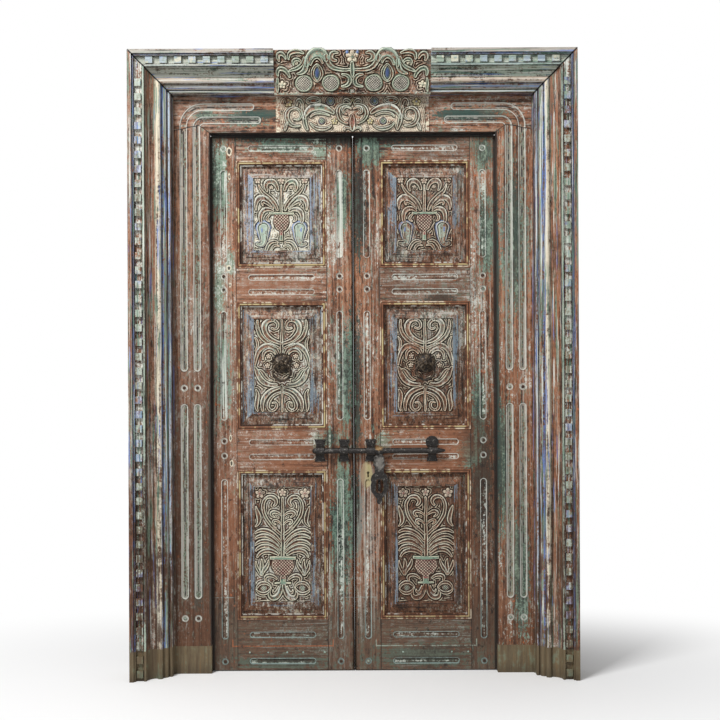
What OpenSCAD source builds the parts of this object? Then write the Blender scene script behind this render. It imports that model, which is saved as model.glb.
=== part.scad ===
// Carved double-leaf temple door in its timber frame, closed and bolted.
// Lengths in millimetres. Front faces -Y, +Z is up, the floor is Z = 0.

/* [Overall] */
// Width over the outer architraves
door_w = 1495; // [1100:5:2200]
// Height from the floor to the top of the head architrave
door_h = 2100; // [1600:5:2900]

/* [Architrave] */
// Face width of the splayed outer architrave
arch_w = 138; // [100:1:200]
// How far its outer edge stands in front of the jamb
arch_proud = 112; // [60:1:150]
// How far it laps back along the side of the jamb
arch_lap = 40; // [20:1:60]
// Height of the spliced foot of each side piece
arch_foot_h = 100; // [60:1:200]
// Open gap along each top mitre
mitre_gap = 1.6; // [0:0.1:4]
// Width of the plain outer edge
edge_w = 14; // [8:0.5:20]
// Width of the quirk beside it
quirk_w = 6; // [3:0.5:10]
// Depth of the quirk
quirk_d = 7; // [3:0.5:12]
// Width of the sunk dentil band
band_w = 27; // [20:0.5:40]
// Depth of the dentil band below the outer edge
band_d = 20; // [10:0.5:30]
// Height of a dentil off the band
dentil_h = 11; // [4:0.5:18]
// Length of a dentil
dentil_l = 24; // [12:0.5:40]
// Width of a dentil
dentil_face_w = 21; // [12:0.5:26]
// Distance from one dentil to the next
dentil_pitch = 48; // [30:0.5:70]
// Width of the fillet after the band
fillet_w = 7; // [4:0.5:12]
// Depth of that fillet below the outer edge
fillet_d = 12; // [6:0.5:18]
// Radius of the cove
cove_r = 32; // [20:0.5:40]
// Depth of the cove's upper edge below the outer edge
cove_d = 18; // [12:0.5:30]
// Radius of the torus below the cove
torus_r = 9.5; // [6:0.5:14]
// Radius of the ovolo
ovolo_r = 12; // [8:0.5:16]
// Radius of the small bead by the inner edge
small_bead_r = 4.5; // [3:0.5:7]

/* [Inner frame] */
// Face width of a jamb
jamb_w = 122; // [90:1:170]
// Face height of the head rail
head_h = 120; // [90:1:170]
// How far the jamb's front lip covers the leaf
lip_w = 12; // [6:0.5:20]
// Depth of the leaf face behind the jamb face
leaf_setback = 32; // [20:0.5:60]
// Height of the spliced foot of a jamb
jamb_foot_h = 94; // [60:1:200]
// Width of a jamb flute
jamb_flute_w = 21; // [12:0.5:30]
// Depth of every flute
flute_d = 4.5; // [2:0.5:8]
// Outer flute's distance from the jamb's outer edge
flute_off_1 = 33; // [24:0.5:45]
// Inner flute's distance from the jamb's outer edge
flute_off_2 = 78; // [60:0.5:95]
// Corner radius of the outer flute
flute_turn_1 = 65; // [40:1:90]
// Corner radius of the inner flute
flute_turn_2 = 25; // [15:1:40]
// Where the outer flute ends along the head, from the centre
flute_end_1 = 347; // [280:1:450]
// Where the inner flute ends along the head, from the centre
flute_end_2 = 324; // [280:1:450]
// Lower end of the upper flutes
flute_upper_z = 1031; // [800:1:1300]
// Upper end of the lower flutes
flute_lower_z = 916; // [700:1:1200]
// Lower end of the lower flutes
flute_low_end_z = 256; // [200:1:400]
// Height of the upper pair of ring bosses
ring_upper_z = 973; // [800:1:1200]
// Height of the lower pair of ring bosses
ring_lower_z = 188; // [120:1:300]
// Rise of the jamb's mitred horn above the head's lower edge
horn_h = 26; // [10:1:40]
// Width of the mitred part of the horn
horn_w = 36; // [15:1:60]
// Rise of the horn's outer end
horn_end_h = 8; // [0:1:20]

/* [Leaves] */
// Thickness of stiles and rails
leaf_t = 45; // [30:1:60]
// Gap between the two leaves at the front
meet_gap = 6; // [6:0.5:10]
// Gap between the two leaves at the back of their bevelled edges
meet_gap_back = 0.5; // [0.4:0.1:4]
// Gap between leaf and jamb rebate
hang_gap = 2.5; // [1.5:0.5:6]
// Gap between leaf and head
head_gap = 7; // [3:0.5:14]
// Gap between leaf and floor
floor_gap = 4; // [2:0.5:12]
// Width of a meeting stile
meet_stile_w = 88; // [60:1:120]
// Clear width between the stiles
open_w = 310; // [220:1:420]
// Width of a hanging stile's face in sight
hang_face_w = 86.5; // [60:0.5:120]
// Height of the bottom rail
bottom_rail_h = 173; // [100:1:250]
// Clear height of the lower panel
lower_open_h = 514; // [350:1:650]
// Height of the lock rail
lock_rail_h = 137; // [90:1:200]
// Clear height of the middle panel
middle_open_h = 439; // [300:1:600]
// Height of the upper rail
upper_rail_h = 117; // [80:1:180]
// Clear height of the upper panel
upper_open_h = 367; // [250:1:500]
// Height of the top rail
top_rail_h = 84; // [60:1:130]
// Width of a stile flute
stile_flute_w = 19; // [14:0.5:34]
// Distance of a stile flute's ends from the panel's ends
stile_flute_in = 34; // [20:1:60]
// Distance of the lowest stile flutes' ends from the leaf's foot
stile_flute_low = 107; // [70:1:200]
// Width of a rail flute
rail_flute_w = 17; // [12:0.5:30]
// Length of a rail flute
rail_flute_l = 224; // [120:1:280]
// Distance between the two flutes of one rail
rail_flute_gap = 50; // [36:0.5:80]
// Distance of the bottom rail's lower flute from its foot
bottom_flute_low = 30; // [20:0.5:50]
// Distance of the bottom rail's upper flute from its top
bottom_flute_high = 53; // [20:0.5:70]
// Length of a rail tenon
tenon_l = 55; // [30:1:70]
// Thickness of a rail tenon
tenon_t = 14; // [8:0.5:20]
// Shoulder above and below a tenon
tenon_in = 14; // [8:0.5:30]
// Clearance round tenons and panel tongues
joint_clear = 0.2; // [0.1:0.05:0.6]

/* [Ring bosses and pegs] */
// Outer diameter of the ring groove round a peg
boss_d = 22; // [14:0.5:30]
// Inner diameter of the ring groove
boss_core_d = 14; // [8:0.5:20]
// Depth of the ring groove
boss_depth = 2.5; // [1:0.25:5]
// Diameter of a peg
peg_d = 10; // [6:0.5:14]
// Length of a peg
peg_l = 34; // [20:1:42]
// Radial clearance of a peg in its hole
peg_clear = 0.12; // [0.05:0.01:0.3]
// Height of the dome on a peg
peg_dome = 2; // [0.5:0.25:4]

/* [Panels] */
// Face width of the planted bead moulding
bead_w = 18; // [10:0.5:26]
// How far the bead stands in front of the leaf face
bead_proud = 2.5; // [0:0.25:6]
// Depth of the panel margin behind the leaf face
margin_d = 15; // [8:0.5:20]
// Flat margin between bead and bevel
margin_w = 5; // [2:0.5:10]
// Width of the bevel round the carved field
bevel_w = 33; // [20:0.5:45]
// Depth of the field's rim behind the leaf face
rim_d = 4; // [1:0.5:8]
// Width of the rim round the carved ground
rim_w = 3; // [2:0.5:8]
// Height of the carving over its ground
relief_h = 8; // [4:0.5:12]
// Depth of the panel groove in the stiles and rails
groove_d = 10; // [6:0.5:16]
// Thickness of the panel's tongue
tongue_t = 12; // [8:0.5:16]
// Thickness of the panel behind its margin
panel_back = 19; // [14:0.5:26]

/* [Head carvings] */
// Width of the upper carved block
crest_w = 526; // [400:1:650]
// How far the block's top edge stands in front of the jamb
crest_top = 92; // [60:1:120]
// How far the block's lower edge stands in front of the jamb
crest_low = 44; // [20:1:80]
// Depth of the block's seat in the head architrave
crest_seat = 14; // [6:1:30]
// Height of the crest carving over its ground
crest_relief = 11; // [6:0.5:16]
// Distance of the lower carved board's ends inside the block's ends
board_in = 17; // [15:0.5:40]
// Thickness of the lower board's ground
board_t = 7; // [4:0.5:16]
// Height of the board's carving over its ground
board_relief = 10; // [5:0.5:15]
// Width of the plain strip at each end of the board
strip_w = 15; // [8:0.5:24]
// Thickness of that strip
strip_t = 4; // [2:0.5:8]

/* [Bolt and hasp] */
// Diameter of the bolt bar
bar_d = 19; // [14:0.5:26]
// Distance of the bolt bar below the lock rail's middle
bar_drop = 3.5; // [0:0.5:20]
// Distance of the bar's axis in front of the leaf
bar_stand = 20; // [16:0.5:30]
// How far the drawn bolt stands clear of the meeting line
bolt_clear = 2.5; // [1:0.5:8]
// Length of the bar's straight part past the outer right guide's middle
bar_past = 20; // [16:0.5:40]
// Length of the tapered tip
bar_tip_l = 24; // [10:1:40]
// Diameter at the end of the tip
bar_tip_d = 7; // [4:0.5:12]
// Travel of the bolt
bolt_travel = 145; // [140:1:160]
// Running clearance of the bar in its guides and the hasp
bar_clear = 0.4; // [0.3:0.05:1]
// Distance of the outer left guide from the meeting line
guide_x1 = 116; // [90:1:150]
// Distance of the inner left guide from the meeting line
guide_x2 = 34; // [24:1:60]
// Distance of the inner right guide from the hasp
guide_near = 29.5; // [27:0.5:40]
// Distance of the outer right guide from the hasp
guide_far = 181.5; // [178:0.5:220]
// Width of a guide at its bar
guide_w = 28; // [18:0.5:40]
// Width of a guide plate's flared ends
guide_flare_w = 38; // [24:0.5:50]
// Height of a guide plate
guide_h = 76; // [50:1:110]
// Thickness of a guide plate
guide_t = 4; // [2:0.5:8]
// Wall of a guide round the bar
guide_wall = 5; // [3:0.5:9]
// Diameter of the round top plate of the last guide
guide_round_d = 44; // [30:1:60]
// Distance of the hasp's middle inside the meeting stile's edge
hasp_in = 4.5; // [3:0.5:20]
// Width of the hasp's collar
hasp_collar_w = 22; // [14:0.5:30]
// Width of the retaining rings beside the collar
keeper_w = 3; // [2:0.5:6]
// Thickness of the hasp plate
hasp_t = 5; // [3:0.5:8]
// Height of the hasp below the bar's axis
hasp_h = 180; // [140:1:220]
// Width of the hasp's body
hasp_w = 60; // [44:1:80]
// Width of the hasp's neck
hasp_neck_w = 35; // [24:1:46]
// Diameter of the keyhole beside the hasp
keyhole_d = 9; // [6:0.5:14]
// Height of the keyhole with its slot
keyhole_h = 20; // [12:0.5:30]
// Depth of the keyhole
keyhole_depth = 14; // [6:0.5:25]
// Distance of the keyhole left of the hasp
keyhole_off = 38; // [34:0.5:44]
// Distance of the keyhole below the bolt bar
keyhole_drop = 77; // [60:1:90]
// Width of the hasp's slot
slot_w = 27; // [18:0.5:34]
// Length of the hasp's slot
slot_l = 50; // [34:0.5:60]
// Middle of the slot below the bar's axis
slot_drop = 121; // [100:1:140]
// Thickness of the staple
staple_t = 5; // [3:0.5:7]
// Diameter of the staple's round end
staple_d = 24; // [18:0.5:32]
// Diameter of the staple's eye
eye_d = 13; // [8:0.5:18]
// Distance of the eye in front of the leaf
eye_stand = 33; // [26:0.5:44]
// Thickness of the staple's washer plate
washer_t = 2.5; // [1.5:0.25:5]

/* [Ring pulls] */
// Height of the pull's stud above the middle panel's middle
pull_rise = 9.5; // [-40:0.5:40]
// Diameter of the rosette plate
rosette_d = 68; // [44:1:90]
// Height of the rosette's dome
rosette_h = 11; // [6:0.5:18]
// Thickness of the rosette's edge
rosette_t = 3; // [2:0.5:6]
// Distance of the ring's axis in front of the rosette's seat
pull_stand = 21; // [18:0.5:30]
// Diameter of the stud's ball
stud_d = 21; // [16:0.5:26]
// Diameter of the stud's neck
stud_neck_d = 13; // [8:0.5:16]
// Diameter of the cross hole in the ball
stud_hole_d = 11.2; // [9:0.1:14]
// Diameter of the ring's section
ring_t = 8; // [5:0.5:10]
// Mean diameter of the ring
ring_d = 60; // [44:1:80]

/* [Hinges] */
// Number of hinges on each leaf
hinge_n = 3; // [2:1:4]
// Height of the lowest hinge's middle above the leaf's lower end
hinge_low_in = 226; // [150:1:400]
// Distance of the highest hinge's middle below the leaf's upper end
hinge_high_in = 195; // [120:1:400]
// Height of a hinge
hinge_h = 110; // [70:1:160]
// Width of each hinge plate from the pin's axis
hinge_plate_w = 58; // [36:1:80]
// Thickness of a hinge plate
hinge_t = 3; // [2:0.5:5]
// Diameter of the knuckles
knuckle_d = 16; // [12:0.5:22]
// Clearance between knuckle and wood
knuckle_clear = 0.5; // [0.3:0.1:1.5]
// Diameter of a hinge pin
pin_d = 8; // [5:0.5:12]
// Clearance of the pin in the turning knuckle
pin_clear = 0.35; // [0.3:0.05:0.6]
// Clearance of the pin in the fixed knuckles
pin_fit = 0.12; // [0.05:0.01:0.3]
// Gap between neighbouring knuckles
knuckle_gap = 0.5; // [0.3:0.1:1.5]
// Thickness of a pin's head
pin_head = 4; // [2:0.5:8]

/* [Hidden] */
$fn = 48;
overrun = 1;
carve_sink = 1.2;
steps = 4;
level_share = 0.03;
levels = 4;
vase_share = 0.83;
dome_share = 0.7;
petal_share = 0.55;
petals = 4;
disc_fn = 9;
bud_fn = 4;

half_w = door_w / 2;
inner_x = half_w - arch_w;
lip_x = inner_x - jamb_w;
rebate_x = lip_x + lip_w;
head_z1 = door_h - arch_w;
head_z0 = head_z1 - head_h;
jamb_t = leaf_setback + leaf_t;
hinge_y_off = knuckle_d / 2 + knuckle_clear;
depth = arch_proud + jamb_t + hinge_y_off + knuckle_d / 2;
y_front = -depth / 2;
y_jamb = y_front + arch_proud;
y_leaf = y_jamb + leaf_setback;
y_back = y_jamb + jamb_t;
y_lap = y_jamb + arch_lap;

xm0 = meet_gap / 2;
// Stiles and opening share a leaf's width, and the openings share the height that the rails leave.
leaf_scale = (lip_x - xm0) / (meet_stile_w + open_w + hang_face_w);
panel_w = open_w * leaf_scale;
xm1 = xm0 + meet_stile_w * leaf_scale;
xh0 = xm1 + panel_w;
xh1 = rebate_x - hang_gap;
panel_x = xm1 + panel_w / 2;
meet_x = (xm0 + xm1) / 2;
hang_x = (xh0 + lip_x) / 2;
leaf_z0 = floor_gap;
leaf_z1 = head_z0 - head_gap;
clear_h = leaf_z1 - leaf_z0 - bottom_rail_h - lock_rail_h - upper_rail_h - top_rail_h;
open_scale = clear_h / (lower_open_h + middle_open_h + upper_open_h);
lower_z = leaf_z0 + bottom_rail_h;
lock_z = lower_z + lower_open_h * open_scale;
middle_z = lock_z + lock_rail_h;
upper_rail_z = middle_z + middle_open_h * open_scale;
upper_z = upper_rail_z + upper_rail_h;
top_rail_z = upper_z + upper_open_h * open_scale;
// Each rail: its foot, its top and the heights of its flutes.
function two_flutes(z0, z1) = [for (s = [-1, 1]) (z0 + z1 + s * rail_flute_gap) / 2];
rails = [[leaf_z0, lower_z, [leaf_z0 + bottom_flute_low, lower_z - bottom_flute_high]],
    [lock_z, middle_z, two_flutes(lock_z, middle_z)], [upper_rail_z, upper_z, two_flutes(upper_rail_z, upper_z)],
    [top_rail_z, leaf_z1, [(top_rail_z + leaf_z1) / 2]]];
opens = [[lower_z, lock_z - lower_z], [middle_z, upper_rail_z - middle_z], [upper_z, top_rail_z - upper_z]];
field_in = bead_w + margin_w + bevel_w;
unit = panel_w / 2 - field_in;
board_w = crest_w - 2 * board_in;
tenon_reach = tenon_l * leaf_scale;

bar_y = y_leaf - bar_stand;
bar_z = (lock_z + middle_z) / 2 - bar_drop;
hasp_x = xm1 - hasp_in;
guide_x3 = hasp_x - guide_near;
guide_x4 = hasp_x + guide_far;
bar_right = guide_x4 + bar_past;
bar_r = bar_d / 2;
bar_left = bolt_travel - bar_r - bolt_clear;
bore_r = bar_r + bar_clear;
boss_r = bore_r + guide_wall;
pull_y = y_leaf + rim_d - pull_stand;
pull_z = (middle_z + upper_rail_z) / 2 + pull_rise;
hinge_x = (xh1 + rebate_x) / 2;
hinge_y = y_back + hinge_y_off;
hinge_low_z = leaf_z0 + hinge_low_in;
hinge_step = (leaf_z1 - hinge_high_in - hinge_low_z) / (hinge_n - 1);
knuckle_h = (hinge_h - 2 * knuckle_gap) / 3;

// Carved strokes: four curve points, then half widths at start, middle and end, in shares of the field's half width.
upper_shares = [
    [[0, 0.06], [0, 0.4], [0, 0.7], [0, 1], [0.05, 0.045, 0.035]],
    [[0.14, 0.16], [0.27, 0.6], [0.66, 0.62], [0.78, 1.02], [0.05, 0.07, 0.03]],
    [[0.12, 0.86], [0.2, 1.3], [0.68, 1.22], [0.5, 0.82], [0.05, 0.09, 0.04]],
    [[0.27, 0.2], [0.46, 0.7], [0.97, 0.72], [0.88, 0.17], [0.03, 0.1, 0.03]],
    [[0.3, 0.12], [0.55, 0.3], [0.82, 0.1], [0.7, -0.28], [0.05, 0.08, 0.05]],
    [[0.62, -0.5], [0.62, -0.8], [0.56, -1.16], [0.82, -1.02], [0.2, 0.14, 0.05]],
    [[0.13, -0.97], [0.3, -0.87], [0.46, -0.98], [0.54, -1.25], [0.04, 0.06, 0.05]],
    [[0.08, -1.1], [0.22, -1], [0.32, -1.12], [0.36, -1.27], [0.03, 0.05, 0.03]]];
middle_shares = [
    [[0, 0.4], [0, 0.8], [0, 1.2], [0, 1.58], [0.06, 0.05, 0.04]],
    [[0, -0.7], [0, -1], [0, -1.3], [0, -1.58], [0.05, 0.04, 0.04]],
    [[0.04, 0.78], [0.8, 0.94], [0.72, 1.66], [0.3, 1.58], [0.05, 0.09, 0.06]],
    [[0.3, 1.58], [0.05, 1.52], [0.12, 1.16], [0.34, 1.3], [0.06, 0.05, 0.04]],
    [[0.06, 0.6], [0.6, 0.8], [0.92, 1.06], [0.84, 1.56], [0.04, 0.07, 0.04]],
    [[0.12, 0.42], [0.3, 0.86], [0.9, 0.8], [0.94, 0.04], [0.05, 0.09, 0.04]],
    [[0.24, 0.4], [0.36, 0.66], [0.68, 0.6], [0.66, 0.22], [0.03, 0.06, 0.03]],
    [[0.94, -0.06], [0.86, -0.1], [0.8, -0.78], [0.2, -0.66], [0.04, 0.09, 0.05]],
    [[0.1, -0.76], [0.56, -0.86], [0.76, -1.18], [0.68, -1.56], [0.05, 0.08, 0.04]],
    [[0.05, -0.94], [0.46, -1], [0.62, -1.5], [0.36, -1.56], [0.04, 0.06, 0.05]],
    [[0.9, -0.86], [0.76, -1.06], [0.96, -1.3], [0.86, -1.56], [0.04, 0.08, 0.04]]];
lower_shares = [
    [[0, -0.44], [0, 0.3], [0, 1], [0, 1.6], [0.07, 0.06, 0.04]],
    [[0.06, 0.34], [0.62, 0.76], [0.84, 1.3], [0.56, 1.6], [0.05, 0.06, 0.05]],
    [[0.56, 1.6], [0.36, 1.74], [0.1, 1.5], [0.3, 1.34], [0.05, 0.07, 0.04]],
    [[0.04, 0.98], [0.3, 1.26], [0.54, 1.04], [0.28, 0.94], [0.03, 0.06, 0.03]],
    [[0.08, 0.1], [0.4, 0.5], [0.7, 0.56], [0.94, 0.4], [0.04, 0.07, 0.04]],
    [[0.1, -0.06], [0.4, 0.32], [0.7, 0.38], [0.95, 0.2], [0.04, 0.07, 0.04]],
    [[0.1, -0.18], [0.4, 0.13], [0.7, 0.2], [0.95, -0.01], [0.04, 0.07, 0.04]],
    [[0.12, -0.3], [0.4, -0.04], [0.75, 0.04], [0.93, -0.22], [0.04, 0.07, 0.04]],
    [[0.93, 0.62], [0.7, 0.8], [0.88, 1.06], [0.93, 1.3], [0.03, 0.08, 0.03]],
    [[0.72, -1.06], [0.7, -0.86], [0.5, -0.8], [0.5, -0.56], [0.04, 0.07, 0.03]],
    [[0.76, -1.06], [0.86, -0.9], [0.92, -0.8], [0.93, -0.6], [0.04, 0.06, 0.03]],
    [[0.42, -1.5], [0.56, -1.24], [0.88, -1.32], [0.92, -1.56], [0.03, 0.06, 0.03]],
    [[0.42, -1.52], [0.5, -1.78], [0.84, -1.76], [0.92, -1.58], [0.03, 0.06, 0.03]],
    [[0.05, -1.42], [0.04, -1.92], [0.54, -2], [0.46, -1.66], [0.05, 0.09, 0.04]]];
crest_shares = [
    [[0, 0.44], [0, 0.2], [0, 0], [0, -0.2], [0.06, 0.1, 0.05]],
    [[0.44, -0.1], [-0.02, -0.1], [0, -0.66], [0.44, -0.64], [0.05, 0.09, 0.05]],
    [[0.1, 0.12], [0.86, 0.04], [1.02, 0.3], [1.12, 0.74], [0.06, 0.1, 0.1]],
    [[0.62, 0.86], [0.96, 1], [1.02, 0.5], [0.68, 0.52], [0.05, 0.1, 0.05]],
    [[1.12, 0.56], [1.2, 1.06], [1.86, 1.06], [1.94, 0.3], [0.1, 0.2, 0.08]],
    [[1.96, 0.66], [1.94, 0.16], [2.06, -0.02], [2.36, -0.06], [0.07, 0.11, 0.05]],
    [[2.2, 0.44], [2.3, 0.66], [2.62, 0.6], [2.52, 0.32], [0.05, 0.08, 0.04]],
    [[2.1, 0.86], [2.4, 1], [2.78, 0.96], [2.72, 0.6], [0.05, 0.1, 0.05]],
    [[2.86, 0.62], [2.98, 0.98], [3.3, 0.86], [3.14, 0.52], [0.05, 0.1, 0.05]],
    [[2.7, -0.2], [2.86, 0.24], [3.3, 0.3], [3.2, -0.14], [0.06, 0.1, 0.05]],
    [[1.5, 0.34], [1.24, 0.1], [1.26, -0.26], [1.5, -0.4], [0.05, 0.07, 0.05]],
    [[1.52, 0.34], [1.78, 0.1], [1.76, -0.26], [1.52, -0.4], [0.05, 0.07, 0.05]]];
board_span_share = 4.1;
board_shares = [
    [[0.16, 0.52], [1.06, 0.62], [0.96, -0.4], [0.28, -0.52], [0.07, 0.1, 0.06]],
    [[0.08, 0.28], [0.5, 0.62], [0.72, 0.06], [0.34, 0], [0.05, 0.08, 0.05]],
    [[0, -0.1], [0, -0.36], [0, -0.6], [0, -0.88], [0.08, 0.16, 0.1]],
    [[0.1, 0.62], [0.24, 0.9], [0.46, 0.86], [0.5, 0.66], [0.06, 0.09, 0.05]],
    [[1.1, 0.06], [1.7, 0.56], [2.56, 0.54], [2.72, -0.24], [0.1, 0.2, 0.07]],
    [[1.2, -0.66], [1.5, -0.94], [2.1, -0.9], [2.36, -0.54], [0.05, 0.1, 0.05]],
    [[2.56, -0.86], [2.76, -0.4], [2.7, 0], [2.86, 0.4], [0.07, 0.11, 0.06]],
    [[2.98, -0.66], [3.9, -0.86], [3.9, 0.5], [3.2, 0.34], [0.06, 0.11, 0.07]],
    [[3.2, 0.34], [2.72, 0.2], [2.9, -0.46], [3.32, -0.3], [0.07, 0.08, 0.04]],
    [[1.82, 0.74], [1.9, 0.98], [2.5, 0.98], [2.58, 0.74], [0.06, 0.08, 0.06]],
    [[1.82, 0.74], [1.9, 0.52], [2.5, 0.52], [2.58, 0.74], [0.06, 0.08, 0.06]]];
// Flowers: place and petal reach, in the same shares.
upper_flower_shares = [[0, 1.16, 0.13], [0.82, 1.18, 0.13], [0.34, 0.94, 0.08]];
middle_flower_shares = [[0.5, 0, 0.1], [0.47, 0.32, 0.1], [0.84, 1.3, 0.09]];
lower_flower_shares = [[0, 1.78, 0.15], [0.78, 1.76, 0.19], [0.3, 0.56, 0.1]];
crest_flower_shares = [[0, 0.7, 0.3], [3.02, -0.56, 0.2], [2.4, 0.4, 0.1]];
board_flower_shares = [[3.62, 0.66, 0.26], [1, -0.42, 0.2], [0, 0.78, 0.14]];
// Discs: place, radius and height share.
upper_disc_shares = [[0.63, -0.46, 0.25, 0.8]];
middle_disc_shares = [[0.56, -0.32, 0.08, 0.7]];
lower_disc_shares = [[0.67, -1.53, 0.12, 0.7]];
crest_disc_shares = [[0.93, -0.49, 0.4, 0.9], [2.09, -0.5, 0.4, 0.9], [0, -0.84, 0.1, 0.6]];
board_disc_shares = [[1.25, 0.72, 0.24, 0.9], [1.74, -0.4, 0.18, 0.8]];
upper_vase_shares = [[-0.4, 0.08], [-0.4, -0.01], [-0.22, -0.02], [-0.25, -0.3], [-0.16, -0.52], [-0.06, -0.58],
    [-0.07, -0.92], [0.07, -0.92], [0.06, -0.58], [0.16, -0.52], [0.25, -0.3], [0.22, -0.02], [0.4, -0.01],
    [0.4, 0.08]];
lower_vase_shares = [[-0.42, -0.42], [-0.42, -0.54], [-0.32, -0.55], [-0.36, -0.8], [-0.22, -1.04], [-0.1, -1.1],
    [-0.1, -1.3], [-0.26, -1.32], [-0.26, -1.4], [0.26, -1.4], [0.26, -1.32], [0.1, -1.3], [0.1, -1.1],
    [0.22, -1.04], [0.36, -0.8], [0.32, -0.55], [0.42, -0.54], [0.42, -0.42]];

// Points on a carved stroke and its half width there.
function along(p, t) = pow(1 - t, 3) * p[0] + 3 * pow(1 - t, 2) * t * p[1]
    + 3 * (1 - t) * t * t * p[2] + t * t * t * p[3];
function heading(p, t) = 3 * pow(1 - t, 2) * (p[1] - p[0]) + 6 * (1 - t) * t * (p[2] - p[1])
    + 3 * t * t * (p[3] - p[2]);
function half_width(w, t) = pow(1 - t, 2) * w[0] + 2 * (1 - t) * t * (2 * w[1] - (w[0] + w[2]) / 2) + t * t * w[2];
function side_on(d) = [-d[1], d[0]] / norm(d);

module plan(z0, z1) { translate([0, 0, z0]) linear_extrude(height = z1 - z0) children(); }
module elevation(y0, y1) { translate([0, y1, 0]) rotate([90, 0, 0]) linear_extrude(height = y1 - y0) children(); }
module across(x0, x1) { translate([x0, 0, 0]) rotate([90, 0, 90]) linear_extrude(height = x1 - x0) children(); }
module box(x0, x1, y0, y1, z0, z1) { translate([x0, y0, z0]) cube([x1 - x0, y1 - y0, z1 - z0]); }
module flip() { mirror([1, 0, 0]) children(); }

// A round-ended slot in elevation.
module slot_up(x, z0, z1, w) {
    translate([x - w / 2, z0 + w / 2]) square([w, z1 - z0 - w]);
    translate([x, z0 + w / 2]) circle(d = w);
    translate([x, z1 - w / 2]) circle(d = w);
}
module slot_flat(x, z, l, w) {
    translate([x - l / 2 + w / 2, z - w / 2]) square([l - w, w]);
    translate([x - l / 2 + w / 2, z]) circle(d = w);
    translate([x + l / 2 - w / 2, z]) circle(d = w);
}

// Section of the architrave: across its face from the outer edge, and forward of the jamb.
module arch_section() {
    band_x = edge_w + quirk_w;
    fillet_x = band_x + band_w;
    cove_x = fillet_x + fillet_w;
    torus_x = cove_x + cove_r;
    low_v = arch_proud - cove_d - cove_r;
    ovolo_x = torus_x + 2 * torus_r + small_bead_r;
    bead_x = ovolo_x + ovolo_r + small_bead_r / 2;
    low_2 = low_v - 2 * small_bead_r;
    low_3 = low_2 - ovolo_r - small_bead_r;
    polygon([[0, arch_lap], [0, -arch_proud], [edge_w, -arch_proud], [edge_w, quirk_d - arch_proud],
        [band_x, quirk_d - arch_proud], [band_x, band_d - arch_proud], [fillet_x, band_d - arch_proud],
        [fillet_x, fillet_d - arch_proud], [cove_x, fillet_d - arch_proud], [cove_x, -low_v],
        [torus_x + torus_r, -low_v], [torus_x + torus_r, -low_2], [ovolo_x, -low_2], [ovolo_x, -low_3],
        [arch_w - small_bead_r, -low_3], [arch_w - small_bead_r, -small_bead_r], [arch_w, -small_bead_r],
        [arch_w, arch_lap]]);
    difference() {
        translate([cove_x, -low_v - cove_r]) square([cove_r, cove_r]);
        translate([torus_x, -low_v - cove_r]) circle(r = cove_r);
    }
    translate([torus_x + torus_r, -low_v]) circle(r = torus_r);
    translate([ovolo_x, -low_2 + ovolo_r]) circle(r = ovolo_r);
    translate([bead_x + small_bead_r, -low_3]) circle(r = small_bead_r);
}
dentil_x0 = edge_w + quirk_w + (band_w - dentil_face_w) / 2;
dentil_y0 = y_jamb - arch_proud + band_d - dentil_h;

// One side of the architrave between two heights, with its dentils.
module arch_side(z0, z1, mitred) {
    intersection() {
        union() {
            plan(z0, z1) translate([-half_w, y_jamb]) arch_section();
            for (i = [0 : floor((door_h - arch_w / 2) / dentil_pitch) - 1]) {
                z = (i + 0.5) * dentil_pitch;
                if (z - dentil_l / 2 >= z0 && z + dentil_l / 2 <= z1 - (mitred ? dentil_pitch : 0))
                    translate([-half_w + dentil_x0, dentil_y0, z - dentil_l / 2])
                        cube([dentil_face_w, dentil_h + overrun, dentil_l]);
            }
        }
        elevation(y_front - overrun, y_lap + overrun)
            polygon([[-half_w - overrun, z0 - overrun], [-half_w - overrun, door_h + overrun - mitre_gap],
                [-inner_x + overrun, head_z1 - overrun - mitre_gap], [-inner_x + overrun, z0 - overrun]]);
    }
}
module architrave_left() { color("#7a5548") arch_side(arch_foot_h, door_h, true); }
module architrave_right() { flip() architrave_left(); }
module architrave_foot_left() { color("#6a6248") arch_side(0, arch_foot_h, false); }
module architrave_foot_right() { flip() architrave_foot_left(); }
module architrave_head() {
    first_x = half_w - dentil_x0 - dentil_pitch;
    n = floor((first_x - crest_w / 2 - dentil_l / 2) / dentil_pitch);
    color("#7a5548") intersection() {
        difference() {
            union() {
                translate([-half_w, y_jamb, door_h]) rotate([0, 90, 0])
                    linear_extrude(height = door_w) arch_section();
                for (s = [-1, 1]) for (i = [0 : n]) {
                    x = s * (first_x - i * dentil_pitch);
                    translate([x - dentil_l / 2, dentil_y0, door_h - dentil_x0 - dentil_face_w])
                        cube([dentil_l, dentil_h + overrun, dentil_face_w]);
                }
            }
            box(-crest_w / 2, crest_w / 2, y_front - overrun, y_jamb - crest_seat, head_z1 - overrun, door_h + overrun);
        }
        elevation(y_front - overrun, y_lap + overrun)
            polygon([[-half_w, door_h], [half_w, door_h], [inner_x, head_z1], [-inner_x, head_z1]]);
    }
}

// The two flutes of one corner, up the right jamb and along the head.
module corner_flute(off, turn, end_x) {
    fx = inner_x - off;
    fz = head_z1 - off;
    hw = jamb_flute_w / 2;
    slot_up(fx, flute_upper_z, fz - turn + hw, jamb_flute_w);
    translate([fx - turn, fz - turn]) intersection() {
        difference() {
            circle(r = turn + hw);
            circle(r = turn - hw);
        }
        square([turn + hw, turn + hw]);
    }
    translate([end_x, fz - hw]) square([fx - turn - end_x, jamb_flute_w]);
    translate([end_x, fz]) circle(r = hw);
}
module corner_flutes() {
    elevation(y_jamb - overrun, y_jamb + flute_d) corner_flute(flute_off_1, flute_turn_1, flute_end_1);
    elevation(y_jamb - overrun, y_jamb + flute_d) corner_flute(flute_off_2, flute_turn_2, flute_end_2);
}
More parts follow.
